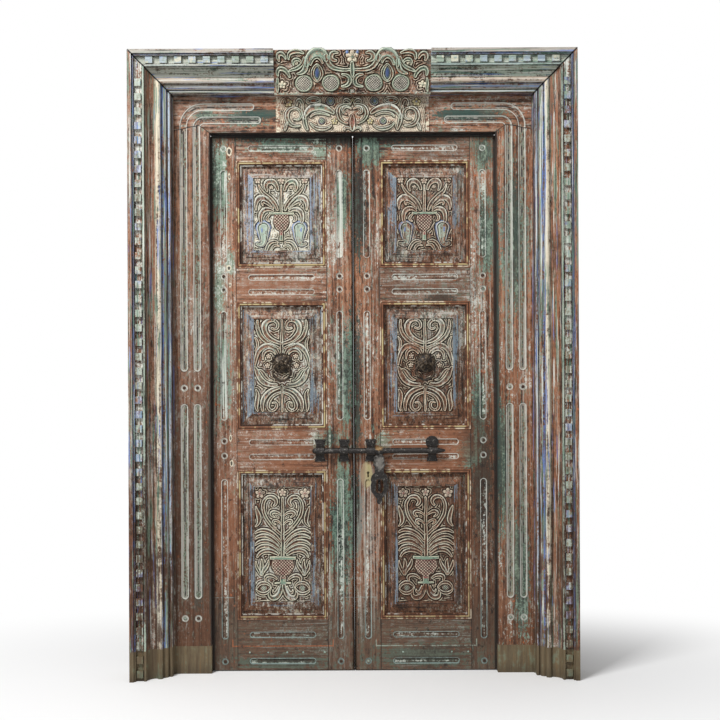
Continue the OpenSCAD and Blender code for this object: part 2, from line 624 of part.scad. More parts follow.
// A ring groove with the peg's hole in its middle.
module ring_boss(x, y, z) {
    translate([x, y, z]) rotate([-90, 0, 0]) {
        translate([0, 0, -overrun]) difference() {
            cylinder(d = boss_d, h = boss_depth + overrun);
            translate([0, 0, -overrun]) cylinder(d = boss_core_d, h = boss_depth + 3 * overrun);
        }
        translate([0, 0, -overrun]) cylinder(d = peg_d + 2 * peg_clear, h = peg_l + overrun);
    }
}
module peg(x, y, z) {
    translate([x, y, z]) rotate([-90, 0, 0]) {
        cylinder(d = peg_d, h = peg_l);
        translate([0, 0, -peg_dome]) cylinder(d1 = peg_d / 2, d2 = peg_d, h = peg_dome);
    }
}
boss_places = [[inner_x - flute_off_1, ring_upper_z], [inner_x - flute_off_2, ring_upper_z],
    [inner_x - flute_off_1, ring_lower_z], [inner_x - flute_off_2, ring_lower_z]];

module jamb_outline(z0) {
    polygon([[lip_x, z0], [lip_x, head_z0], [lip_x + horn_w, head_z0 + horn_h], [inner_x, head_z0 + horn_end_h],
        [inner_x, z0]]);
}
module jamb_right() {
    color("#80584a") difference() {
        elevation(y_jamb, y_back) jamb_outline(jamb_foot_h);
        box(lip_x - overrun, rebate_x, y_leaf - hang_gap / 2, y_back + overrun, 0, door_h);
        corner_flutes();
        for (off = [flute_off_1, flute_off_2]) elevation(y_jamb - overrun, y_jamb + flute_d)
            slot_up(inner_x - off, flute_low_end_z, flute_lower_z, jamb_flute_w);
        for (p = boss_places) ring_boss(p[0], y_jamb, p[1]);
    }
}
module jamb_left() { flip() jamb_right(); }
module jamb_foot_right() {
    color("#6c6048") difference() {
        box(lip_x, inner_x, y_jamb, y_back, 0, jamb_foot_h);
        box(lip_x - overrun, rebate_x, y_leaf - hang_gap / 2, y_back + overrun, -overrun, jamb_foot_h + overrun);
    }
}
module jamb_foot_left() { flip() jamb_foot_right(); }
module jamb_pegs() {
    color("#4a3226") for (s = [-1, 1]) for (p = boss_places) peg(s * p[0], y_jamb, p[1]);
}
module head_rail() {
    color("#80584a") difference() {
        elevation(y_jamb, y_back) polygon([[-lip_x, head_z0], [lip_x, head_z0],
            [lip_x + horn_w, head_z0 + horn_h], [inner_x, head_z0 + horn_end_h], [inner_x, head_z1],
            [-inner_x, head_z1], [-inner_x, head_z0 + horn_end_h], [-lip_x - horn_w, head_z0 + horn_h]]);
        corner_flutes();
        flip() corner_flutes();
    }
}

// One carved stroke with a ridge along its middle, standing on z = 0.
module stroke(row, u, h) {
    p = [row[0], row[1], row[2], row[3]];
    polyhedron(
        points = [for (i = [0 : steps]) for (s = [[1, 0], [0, 1], [-1, 0]])
            let (t = i / steps, c = along(p, t) + s[0] * half_width(row[4], t) * side_on(heading(p, t)))
            [u * c[0], u * c[1], s[1] > 0 ? h : -carve_sink]],
        faces = concat([[0, 1, 2]], [[for (j = [2 : -1 : 0]) 3 * steps + j]],
            [for (i = [0 : steps - 1]) for (j = [0 : 2])
                [3 * i + j, 3 * i + 3 + j, 3 * i + 3 + (j + 1) % 3, 3 * i + (j + 1) % 3]]));
}
// A low cone between two discs, for fruit, buds and berries.
module dome(r, h, n) {
    hull() {
        cylinder(r = r, h = carve_sink, $fn = n);
        cylinder(r = r * dome_share, h = h + carve_sink, $fn = n);
    }
}
module flower(row, u, h) {
    reach = u * row[2];
    translate([u * row[0], u * row[1], -carve_sink]) {
        linear_extrude(height = h * dome_share + carve_sink)
            polygon([for (i = [0 : 2 * petals - 1]) let (a = 90 + i * 180 / petals)
                (i % 2 == 0 ? reach : reach * petal_share) * [cos(a), sin(a)]]);
        dome(reach * petal_share * dome_share, h, bud_fn);
    }
}
module disc(row, u, h) {
    translate([u * row[0], u * row[1], -carve_sink]) dome(u * row[2], h * row[3], disc_fn);
}
module both(x) {
    children();
    if (x > 0) flip() children();
}
// A whole carving: strokes, flowers and discs on both sides of the middle line.
module carving(strokes, flowers, discs, u, h) {
    for (i = [0 : len(strokes) - 1]) both(strokes[i][0][0] + strokes[i][3][0])
        stroke(strokes[i], u, h * (1 - level_share * (1 + i % levels)));
    for (row = flowers) both(row[0]) flower(row, u, h);
    for (row = discs) both(row[0]) disc(row, u, h);
}
module vase(shares, u, h) {
    translate([0, 0, -carve_sink]) linear_extrude(height = h * vase_share + carve_sink) polygon(u * shares);
}

// A raised panel in the leaf's opening: tongue, bevel, rim and sunk ground, face towards -Y.
module panel_body(h) {
    hw = panel_w / 2;
    hh = h / 2;
    fw = hw - field_in;
    fh = hh - field_in;
    tongue = groove_d - joint_clear;
    ground = rim_d + relief_h;
    difference() {
        union() {
            translate([-hw - tongue, -hh - tongue, -margin_d - tongue_t + joint_clear])
                cube([panel_w + 2 * tongue, h + 2 * tongue, tongue_t - joint_clear]);
            translate([-hw + joint_clear, -hh + joint_clear, -margin_d - panel_back])
                cube([panel_w - 2 * joint_clear, h - 2 * joint_clear, panel_back]);
            hull() {
                translate([-fw - bevel_w, -fh - bevel_w, -margin_d - overrun])
                    cube([2 * (fw + bevel_w), 2 * (fh + bevel_w), overrun]);
                translate([-fw, -fh, -margin_d]) cube([2 * fw, 2 * fh, margin_d - rim_d]);
            }
        }
        translate([-fw + rim_w, -fh + rim_w, -ground])
            cube([2 * (fw - rim_w), 2 * (fh - rim_w), ground]);
    }
}
module on_panel(i) {
    translate([panel_x, y_leaf, opens[i][0] + opens[i][1] / 2]) rotate([90, 0, 0]) children();
}
// A carving's place on a panel's ground: its height follows the panel's.
module on_ground(i, h) {
    grow = (opens[i][1] / 2 - field_in) / (h / 2 - field_in) * (open_w / 2 - field_in) / unit;
    translate([0, 0, -rim_d - relief_h]) scale([1, grow, 1]) children();
}
module right_upper_panel() {
    color("#8a6a58") on_panel(2) {
        panel_body(opens[2][1]);
        on_ground(2, upper_open_h) carving(upper_shares, upper_flower_shares, upper_disc_shares, unit, relief_h);
        on_ground(2, upper_open_h) vase(upper_vase_shares, unit, relief_h);
    }
}
module right_middle_panel() {
    color("#8a6a58") on_panel(1) {
        panel_body(opens[1][1]);
        on_ground(1, middle_open_h) carving(middle_shares, middle_flower_shares, middle_disc_shares, unit, relief_h);
        translate([0, pull_z - opens[1][0] - opens[1][1] / 2, -rim_d - relief_h - carve_sink])
            cylinder(d = rosette_d, h = relief_h + carve_sink, $fn = 3 * disc_fn);
    }
}
module right_lower_panel() {
    color("#8a6a58") on_panel(0) {
        panel_body(opens[0][1]);
        on_ground(0, lower_open_h) carving(lower_shares, lower_flower_shares, lower_disc_shares, unit, relief_h);
        on_ground(0, lower_open_h) vase(lower_vase_shares, unit, relief_h);
    }
}
module left_upper_panel() { flip() right_upper_panel(); }
module left_middle_panel() { flip() right_middle_panel(); }
module left_lower_panel() { flip() right_lower_panel(); }

crest_slope = atan((crest_top - crest_low) / arch_w);
module crest_block() {
    face_l = norm([arch_w, crest_top - crest_low]);
    u = face_l / 2;
    color("#71685a") {
        across(-crest_w / 2, crest_w / 2)
            polygon([[y_jamb - crest_seat, head_z1], [y_jamb - crest_seat, door_h], [y_jamb - crest_top, door_h],
                [y_jamb - crest_low, head_z1]]);
        translate([0, y_jamb - (crest_top + crest_low) / 2, (head_z1 + door_h) / 2])
            rotate([90 + crest_slope, 0, 0]) {
                carving(crest_shares, crest_flower_shares, crest_disc_shares, u, crest_relief);
                translate([-crest_w / 2, -face_l / 2, -carve_sink])
                    cube([crest_w, board_t, crest_relief / 2 + carve_sink]);
            }
    }
}
module head_board() {
    u = head_h / 2;
    color("#7b6556") {
        box(-board_w / 2, board_w / 2, y_jamb - board_t, y_jamb, head_z0, head_z1);
        translate([0, y_jamb - board_t, (head_z0 + head_z1) / 2]) rotate([90, 0, 0])
            scale([board_w / head_h / board_span_share, 1, 1])
                carving(board_shares, board_flower_shares, board_disc_shares, u, board_relief);
        for (s = [-1, 1]) translate([s * (board_w + strip_w) / 2 - strip_w / 2, y_jamb - strip_t, head_z0])
            cube([strip_w, strip_t, head_h]);
    }
}

// Stiles and rails of the right leaf.
module grooves() {
    for (o = opens) box(xm1 - groove_d, xh0 + groove_d, y_leaf + margin_d, y_leaf + margin_d + tongue_t,
        o[0] - groove_d, o[0] + o[1] + groove_d);
}
tenon_y0 = y_leaf + margin_d + tongue_t;
module tenon(r, c) {
    box(xm1 - tenon_reach - c, xh0 + tenon_reach + c, tenon_y0 - c, tenon_y0 + tenon_t + c, r[0] + tenon_in - c,
        r[1] - tenon_in + c);
}
// Ring bosses stand where the rails meet a stile; the bolt's guides take the lock rail's place on the meeting stile.
meet_bosses = [leaf_z0 + bottom_rail_h / 6, upper_rail_z + upper_rail_h * 0.36, upper_z - upper_rail_h / 4,
    (top_rail_z + leaf_z1) / 2];
hang_bosses = concat(meet_bosses, [lock_z + lock_rail_h * 0.35, middle_z - lock_rail_h * 0.28]);
module bosses() {
    for (z = meet_bosses) ring_boss(meet_x, y_leaf, z);
    for (z = hang_bosses) ring_boss(hang_x, y_leaf, z);
}
module stile_cuts(flute_x) {
    grooves();
    for (r = rails) tenon(r, joint_clear);
    for (o = opens) {
        foot = o[0] == lower_z ? leaf_z0 + stile_flute_low : o[0] + stile_flute_in;
        elevation(y_leaf - overrun, y_leaf + flute_d)
            slot_up(flute_x, foot, o[0] + o[1] - stile_flute_in, stile_flute_w);
    }
    bosses();
}
module rail(r) {
    difference() {
        union() {
            box(xm1, xh0, y_leaf, y_back, r[0], r[1]);
            tenon(r, 0);
        }
        grooves();
        for (z = r[2]) elevation(y_leaf - overrun, y_leaf + flute_d)
            slot_flat(panel_x, z, rail_flute_l, rail_flute_w);
        bosses();
    }
}
module meeting_stile() {
    difference() {
        plan(leaf_z0, leaf_z1) polygon([[xm0, y_leaf], [xm1, y_leaf], [xm1, y_back], [meet_gap_back / 2, y_back]]);
        stile_cuts(meet_x);
    }
}
// A round keyhole with a narrower slot under it.
module keyhole() {
    elevation(y_leaf - overrun, y_leaf + keyhole_depth) translate([hasp_x - keyhole_off, bar_z - keyhole_drop]) {
        circle(d = keyhole_d);
        translate([-keyhole_d / 4, keyhole_d / 2 - keyhole_h]) square([keyhole_d / 2, keyhole_h - keyhole_d / 2]);
    }
}
module right_meeting_stile() {
    color("#7c5646") difference() {
        meeting_stile();
        keyhole();
    }
}
module right_hanging_stile() {
    color("#7c5646") difference() {
        box(xh0, xh1, y_leaf, y_back, leaf_z0, leaf_z1);
        stile_cuts(hang_x);
    }
}
module right_bottom_rail() { color("#7e5a48") rail(rails[0]); }
module right_lock_rail() { color("#7e5a48") rail(rails[1]); }
module right_upper_rail() { color("#7e5a48") rail(rails[2]); }
module right_top_rail() { color("#7e5a48") rail(rails[3]); }
module left_meeting_stile() { color("#7c5646") flip() meeting_stile(); }
module left_hanging_stile() { flip() right_hanging_stile(); }
module left_bottom_rail() { flip() right_bottom_rail(); }
module left_lock_rail() { flip() right_lock_rail(); }
module left_upper_rail() { flip() right_upper_rail(); }
module left_top_rail() { flip() right_top_rail(); }
module right_pegs() {
    color("#4a3226") {
        for (z = meet_bosses) peg(meet_x, y_leaf, z);
        for (z = hang_bosses) peg(hang_x, y_leaf, z);
    }
}
module left_pegs() { flip() right_pegs(); }

// A mitred strip of bead moulding along X, its outer edge on z = 0.
module bead_strip(l) {
    intersection() {
        across(-l / 2, l / 2) {
            polygon([[margin_d, 0], [-bead_proud, 0], [-bead_proud, bead_w / 4], [0, bead_w / 4],
                [0, bead_w * 3 / 4], [margin_d / 3, bead_w * 3 / 4], [margin_d / 3, bead_w], [margin_d, bead_w]]);
            translate([0, bead_w / 2]) circle(r = bead_w / 5);
        }
        elevation(-2 * bead_w, 2 * bead_w)
            polygon([[-l / 2, 0], [l / 2, 0], [l / 2 - bead_w, bead_w], [bead_w - l / 2, bead_w]]);
    }
}
module beads(i) {
    w = panel_w;
    h = opens[i][1];
    color("#9a8460") translate([panel_x, y_leaf, opens[i][0] + h / 2]) {
        for (s = [0, 180]) rotate([0, s, 0]) translate([0, 0, -h / 2]) bead_strip(w);
        for (s = [90, 270]) rotate([0, s, 0]) translate([0, 0, -w / 2]) bead_strip(h);
    }
}
module right_lower_beads() { beads(0); }
module right_middle_beads() { beads(1); }
module right_upper_beads() { beads(2); }
module left_lower_beads() { flip() beads(0); }
module left_middle_beads() { flip() beads(1); }
module left_upper_beads() { flip() beads(2); }

// Sliding bolt, its guides, the hasp and the staple.
module guide(x, round_top) {
    hf = guide_flare_w / 2;
    hg = guide_w / 2;
    hh = guide_h / 2;
    translate([x, 0, bar_z]) difference() {
        union() {
            elevation(y_leaf - guide_t, y_leaf) {
                polygon([[-hf, -hh], [hf, -hh], [hg, -hh / 2], [hg, hh / 2], [hf, hh], [-hf, hh], [-hg, hh / 2],
                    [-hg, -hh / 2]]);
                if (round_top) translate([0, hh - guide_round_d / 4]) circle(d = guide_round_d);
            }
            across(-hg, hg) {
                translate([bar_y, 0]) circle(r = boss_r);
                translate([bar_y, -boss_r]) square([bar_stand - guide_t / 2, 2 * boss_r]);
            }
        }
        translate([-guide_flare_w, bar_y, 0]) rotate([0, 90, 0]) cylinder(r = bore_r, h = 2 * guide_flare_w);
    }
}
module left_bolt_guides() {
    color("#2b2624") {
        guide(-guide_x1, false);
        guide(-guide_x2, false);
    }
}
module right_bolt_guides() {
    color("#2b2624") {
        guide(guide_x3, false);
        guide(guide_x4, true);
    }
}
module bolt_bar() {
    keep_x = hasp_collar_w / 2 + bar_clear;
    color("#2a2523") translate([0, bar_y, bar_z]) rotate([0, 90, 0]) {
        translate([0, 0, -bar_left]) cylinder(r = bar_r, h = bar_left + bar_right);
        translate([0, 0, -bar_left]) sphere(r = bar_r);
        translate([0, 0, bar_right]) cylinder(r1 = bar_r, d2 = bar_tip_d, h = bar_tip_l);
        for (x = [hasp_x - keep_x - keeper_w, hasp_x + keep_x]) translate([0, 0, x])
            cylinder(r = bar_r + guide_wall / 2, h = keeper_w);
    }
}
module hasp_outline() {
    hn = hasp_neck_w / 2;
    hb = hasp_w / 2;
    hc = hasp_collar_w / 2;
    tail = hasp_neck_w / 5;
    neck = boss_r + bar_clear;
    difference() {
        union() {
            polygon([[-hc, 0], [hc, 0], [hc, -neck], [hn, hc - hn - neck], [hn, -hasp_h * 0.24],
                [hn * 1.25, -hasp_h * 0.27], [hn * 0.9, -hasp_h * 0.31], [hn * 0.9, -hasp_h * 0.42],
                [hb * 0.86, -hasp_h * 0.47], [hb, -hasp_h * 0.54], [hb * 0.92, -hasp_h * 0.6],
                [hb, -hasp_h * 0.68], [hb * 0.9, -hasp_h * 0.78], [hb * 0.55, -hasp_h * 0.86],
                [tail * 1.2, -hasp_h * 0.91], [tail, -hasp_h * 0.97], [-tail, -hasp_h * 0.97],
                [-tail * 1.2, -hasp_h * 0.91], [-hb * 0.55, -hasp_h * 0.86], [-hb * 0.9, -hasp_h * 0.78],
                [-hb, -hasp_h * 0.68], [-hb * 0.92, -hasp_h * 0.6], [-hb, -hasp_h * 0.54],
                [-hb * 0.86, -hasp_h * 0.47], [-hn * 0.9, -hasp_h * 0.42], [-hn * 0.9, -hasp_h * 0.31],
                [-hn * 1.25, -hasp_h * 0.27], [-hn, -hasp_h * 0.24], [-hn, hc - hn - neck], [-hc, -neck]]);
            translate([0, tail - hasp_h]) circle(r = tail * 1.4);
        }
        slot_up(0, -slot_drop - slot_l / 2, slot_l / 2 - slot_drop, slot_w);
    }
}
module hasp() {
    color("#2d2826") translate([hasp_x, bar_y, bar_z]) difference() {
        union() {
            elevation(-hasp_t / 2, hasp_t / 2) hasp_outline();
            translate([-hasp_collar_w / 2, 0, 0]) rotate([0, 90, 0]) cylinder(r = boss_r, h = hasp_collar_w);
        }
        translate([-hasp_w, 0, 0]) rotate([0, 90, 0]) cylinder(r = bore_r, h = 2 * hasp_w);
    }
}
module bolt_staple() {
    ez = bar_z - slot_drop;
    color("#2a2523") {
        difference() {
            across(hasp_x - staple_t / 2, hasp_x + staple_t / 2) {
                translate([y_leaf - eye_stand, ez]) circle(d = staple_d);
                translate([y_leaf - eye_stand, ez - staple_d / 2]) square([eye_stand - washer_t / 2, staple_d]);
            }
            translate([hasp_x - staple_t, y_leaf - eye_stand, ez]) rotate([0, 90, 0])
                cylinder(d = eye_d, h = 2 * staple_t);
        }
        box(2 * hasp_x - xm1, xm1, y_leaf - washer_t, y_leaf, ez - staple_d * 0.8, ez + staple_d * 0.8);
    }
}

// Ring pulls.
module right_pull_rosette() {
    seat_y = y_leaf + rim_d;
    dome_r = (pow(rosette_d * 0.42, 2) + pow(rosette_h, 2)) / (2 * rosette_h);
    color("#332c28") translate([panel_x, seat_y, pull_z]) rotate([90, 0, 0]) difference() {
        union() {
            cylinder(d = rosette_d, h = rosette_t);
            intersection() {
                translate([0, 0, rosette_h - dome_r]) sphere(r = dome_r);
                cylinder(d = rosette_d * 0.84, h = rosette_h + overrun);
            }
            cylinder(d = stud_neck_d, h = pull_stand);
            translate([0, 0, pull_stand]) sphere(d = stud_d);
        }
        translate([-stud_d, 0, pull_stand]) rotate([0, 90, 0]) cylinder(d = stud_hole_d, h = 2 * stud_d);
    }
}
module left_pull_rosette() { flip() right_pull_rosette(); }
module right_pull_ring() {
    color("#2f2926") translate([panel_x, pull_y, pull_z - ring_d / 2]) rotate([90, 0, 0])
        rotate_extrude() translate([ring_d / 2, 0]) circle(d = ring_t);
}
module left_pull_ring() { flip() right_pull_ring(); }

// Butt hinges on the back: two fixed knuckles on the jamb, one on the leaf.
module knuckle(z0, z1, bore, plate_x0, plate_x1) {
    difference() {
        union() {
            translate([hinge_x, hinge_y, z0]) cylinder(d = knuckle_d, h = z1 - z0);
            box(plate_x0, plate_x1, y_back, y_back + hinge_t, z0, z1);
        }
        translate([hinge_x, hinge_y, z0 - overrun]) cylinder(d = bore, h = z1 - z0 + 2 * overrun);
    }
}
module each_hinge() { for (i = [0 : hinge_n - 1]) translate([0, 0, hinge_low_z + i * hinge_step - hinge_h / 2]) children(); }
module right_hinge_frame_plates() {
    color("#3a332f") each_hinge() {
        for (z = [0, 2 * (knuckle_h + knuckle_gap)])
            knuckle(z, z + knuckle_h, pin_d + 2 * pin_fit, hinge_x, hinge_x + hinge_plate_w);
        box(hinge_x + knuckle_d / 2 + knuckle_clear, hinge_x + hinge_plate_w, y_back, y_back + hinge_t, 0, hinge_h);
    }
}
module right_hinge_plates() {
    z0 = knuckle_h + knuckle_gap;
    color("#3a332f") each_hinge() {
        knuckle(z0, z0 + knuckle_h, pin_d + 2 * pin_clear, hinge_x - hinge_plate_w, hinge_x);
        box(hinge_x - hinge_plate_w, hinge_x - knuckle_d / 2 - knuckle_clear, y_back, y_back + hinge_t, 0, hinge_h);
    }
}
module right_hinge_pins() {
    color("#4a423c") each_hinge() translate([hinge_x, hinge_y, 0]) {
        cylinder(d = pin_d, h = hinge_h);
        for (z = [-pin_head, hinge_h]) translate([0, 0, z]) cylinder(d = knuckle_d * 0.8, h = pin_head);
    }
}
module left_hinge_frame_plates() { flip() right_hinge_frame_plates(); }
module left_hinge_plates() { flip() right_hinge_plates(); }
module left_hinge_pins() { flip() right_hinge_pins(); }

architrave_left();
architrave_right();
architrave_head();
architrave_foot_left();
architrave_foot_right();
jamb_left();
jamb_right();
jamb_foot_left();
jamb_foot_right();
head_rail();
crest_block();
head_board();
jamb_pegs();
left_hinge_frame_plates();
right_hinge_frame_plates();
left_hinge_pins();
right_hinge_pins();
left_hanging_stile();
left_meeting_stile();
left_top_rail();
left_upper_rail();
left_lock_rail();
left_bottom_rail();
left_upper_panel();
left_middle_panel();
left_lower_panel();
left_upper_beads();
left_middle_beads();
left_lower_beads();
left_pegs();
left_hinge_plates();
left_bolt_guides();
left_pull_rosette();
left_pull_ring();
right_hanging_stile();
right_meeting_stile();
right_top_rail();
right_upper_rail();
right_lock_rail();
right_bottom_rail();
right_upper_panel();
right_middle_panel();
right_lower_panel();
right_upper_beads();
right_middle_beads();
right_lower_beads();
right_pegs();
right_hinge_plates();
right_bolt_guides();
right_pull_rosette();
right_pull_ring();
bolt_staple();
bolt_bar();
hasp();
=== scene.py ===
"""Looks of a carved double temple door and its painted timber frame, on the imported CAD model."""

import logging
import math
from collections.abc import Iterable
from dataclasses import dataclass, field
from enum import Enum
from functools import reduce

import bpy
import numpy as np
from mathutils import Matrix, Vector

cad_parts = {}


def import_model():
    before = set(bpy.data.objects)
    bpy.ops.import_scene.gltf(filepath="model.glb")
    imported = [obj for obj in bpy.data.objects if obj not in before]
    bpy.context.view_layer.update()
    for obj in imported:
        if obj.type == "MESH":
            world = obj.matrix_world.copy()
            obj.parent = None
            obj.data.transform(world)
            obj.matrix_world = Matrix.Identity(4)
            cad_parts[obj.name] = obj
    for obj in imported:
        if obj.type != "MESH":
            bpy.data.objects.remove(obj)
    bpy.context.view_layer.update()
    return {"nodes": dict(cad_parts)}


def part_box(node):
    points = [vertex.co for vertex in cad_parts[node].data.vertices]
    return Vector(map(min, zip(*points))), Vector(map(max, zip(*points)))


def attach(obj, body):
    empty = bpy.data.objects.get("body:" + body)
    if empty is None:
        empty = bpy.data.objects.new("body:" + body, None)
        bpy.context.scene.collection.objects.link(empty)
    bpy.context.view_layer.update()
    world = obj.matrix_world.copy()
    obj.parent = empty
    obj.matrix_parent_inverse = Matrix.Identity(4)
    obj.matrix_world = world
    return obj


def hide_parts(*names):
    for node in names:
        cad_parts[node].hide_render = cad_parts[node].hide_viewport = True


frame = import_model()
LOG = logging.getLogger("temple_door")
MM = 0.001


class Paint(Enum):
    """Paints and woods of the door, as they look in even light."""

    WOOD_PALE = "#ab7d5f"
    WOOD_MID = "#87573c"
    WOOD_DEEP = "#472f20"
    WOOD_BLACK = "#16110e"
    WOOD_OLIVE = "#665a44"
    WOOD_GREY = "#4a4036"
    WOOD_NEW = "#7a5c3a"
    FILLER = "#ab6038"
    CHALK = "#d3d5cc"
    ASH = "#aaa59c"
    CREAM = "#d9d0b8"
    YELLOW = "#b9ad7e"
    TAN = "#9c876b"
    MIST = "#a3b3a4"
    SAGE = "#748a78"
    TEAL = "#567a6a"
    BOTTLE = "#26403a"
    SKY = "#a3b5c4"
    ICE = "#95aaa6"
    DUSK = "#7e92b4"
    COBALT = "#5f7cb8"
    NAVY = "#3d4f77"
    ROSE = "#7c4340"
    BLUSH = "#bfae9c"
    IRON = "#221e1c"
    RUST = "#5b4839"
    BRONZE = "#5c4b36"
    BRASS = "#8a6a3e"

    @property
    def linear(self) -> tuple[float, float, float, float]:
        """The colour in linear light, with full alpha."""
        rgb = [int(self.value[i:i + 2], 16) / 255 for i in (1, 3, 5)]
        return (*[c / 12.92 if c < 0.04045 else ((c + 0.055) / 1.055) ** 2.4 for c in rgb], 1.0)


class Axis(Enum):
    """Direction of a member's grain."""

    X = 0
    Z = 2


class Num:
    """A number that varies over the surface: a node socket with arithmetic."""

    def __init__(self, shade: "Shade", socket: bpy.types.NodeSocket) -> None:
        """Keeps the tree and the socket."""
        self.shade = shade
        self.socket = socket

    def __add__(self, other: "Num | float") -> "Num":
        """Sum."""
        return self.shade.math("ADD", self, other)

    def __sub__(self, other: "Num | float") -> "Num":
        """Difference."""
        return self.shade.math("SUBTRACT", self, other)

    def __rsub__(self, other: float) -> "Num":
        """Difference from a plain number."""
        return self.shade.math("SUBTRACT", other, self)

    def __mul__(self, other: "Num | float") -> "Num":
        """Product."""
        return self.shade.math("MULTIPLY", self, other)

    def __abs__(self) -> "Num":
        """Size without its sign."""
        return self.shade.math("ABSOLUTE", self)

    __radd__ = __add__
    __rmul__ = __mul__

    def least(self, *others: "Num | float") -> "Num":
        """The smallest of this and others."""
        return reduce(lambda a, b: self.shade.math("MINIMUM", a, b), others, self)

    def most(self, *others: "Num | float") -> "Num":
        """The largest of this and others."""
        return reduce(lambda a, b: self.shade.math("MAXIMUM", a, b), others, self)

    def rise(self, low: float, high: float) -> "Num":
        """A smooth step from 0 at low to 1 at high, falling where low is the larger."""
        node = self.shade.node("ShaderNodeMapRange", interpolation_type="SMOOTHSTEP")
        self.shade.feed(node.inputs[0], self)
        node.inputs[1].default_value = low
        node.inputs[2].default_value = high
        return Num(self.shade, node.outputs[0])

    def band(self, low: float, high: float, soft: float) -> "Num":
        """1 between low and high, fading over soft outside them."""
        return self.rise(low - soft, low + soft) * self.rise(high + soft, high - soft)


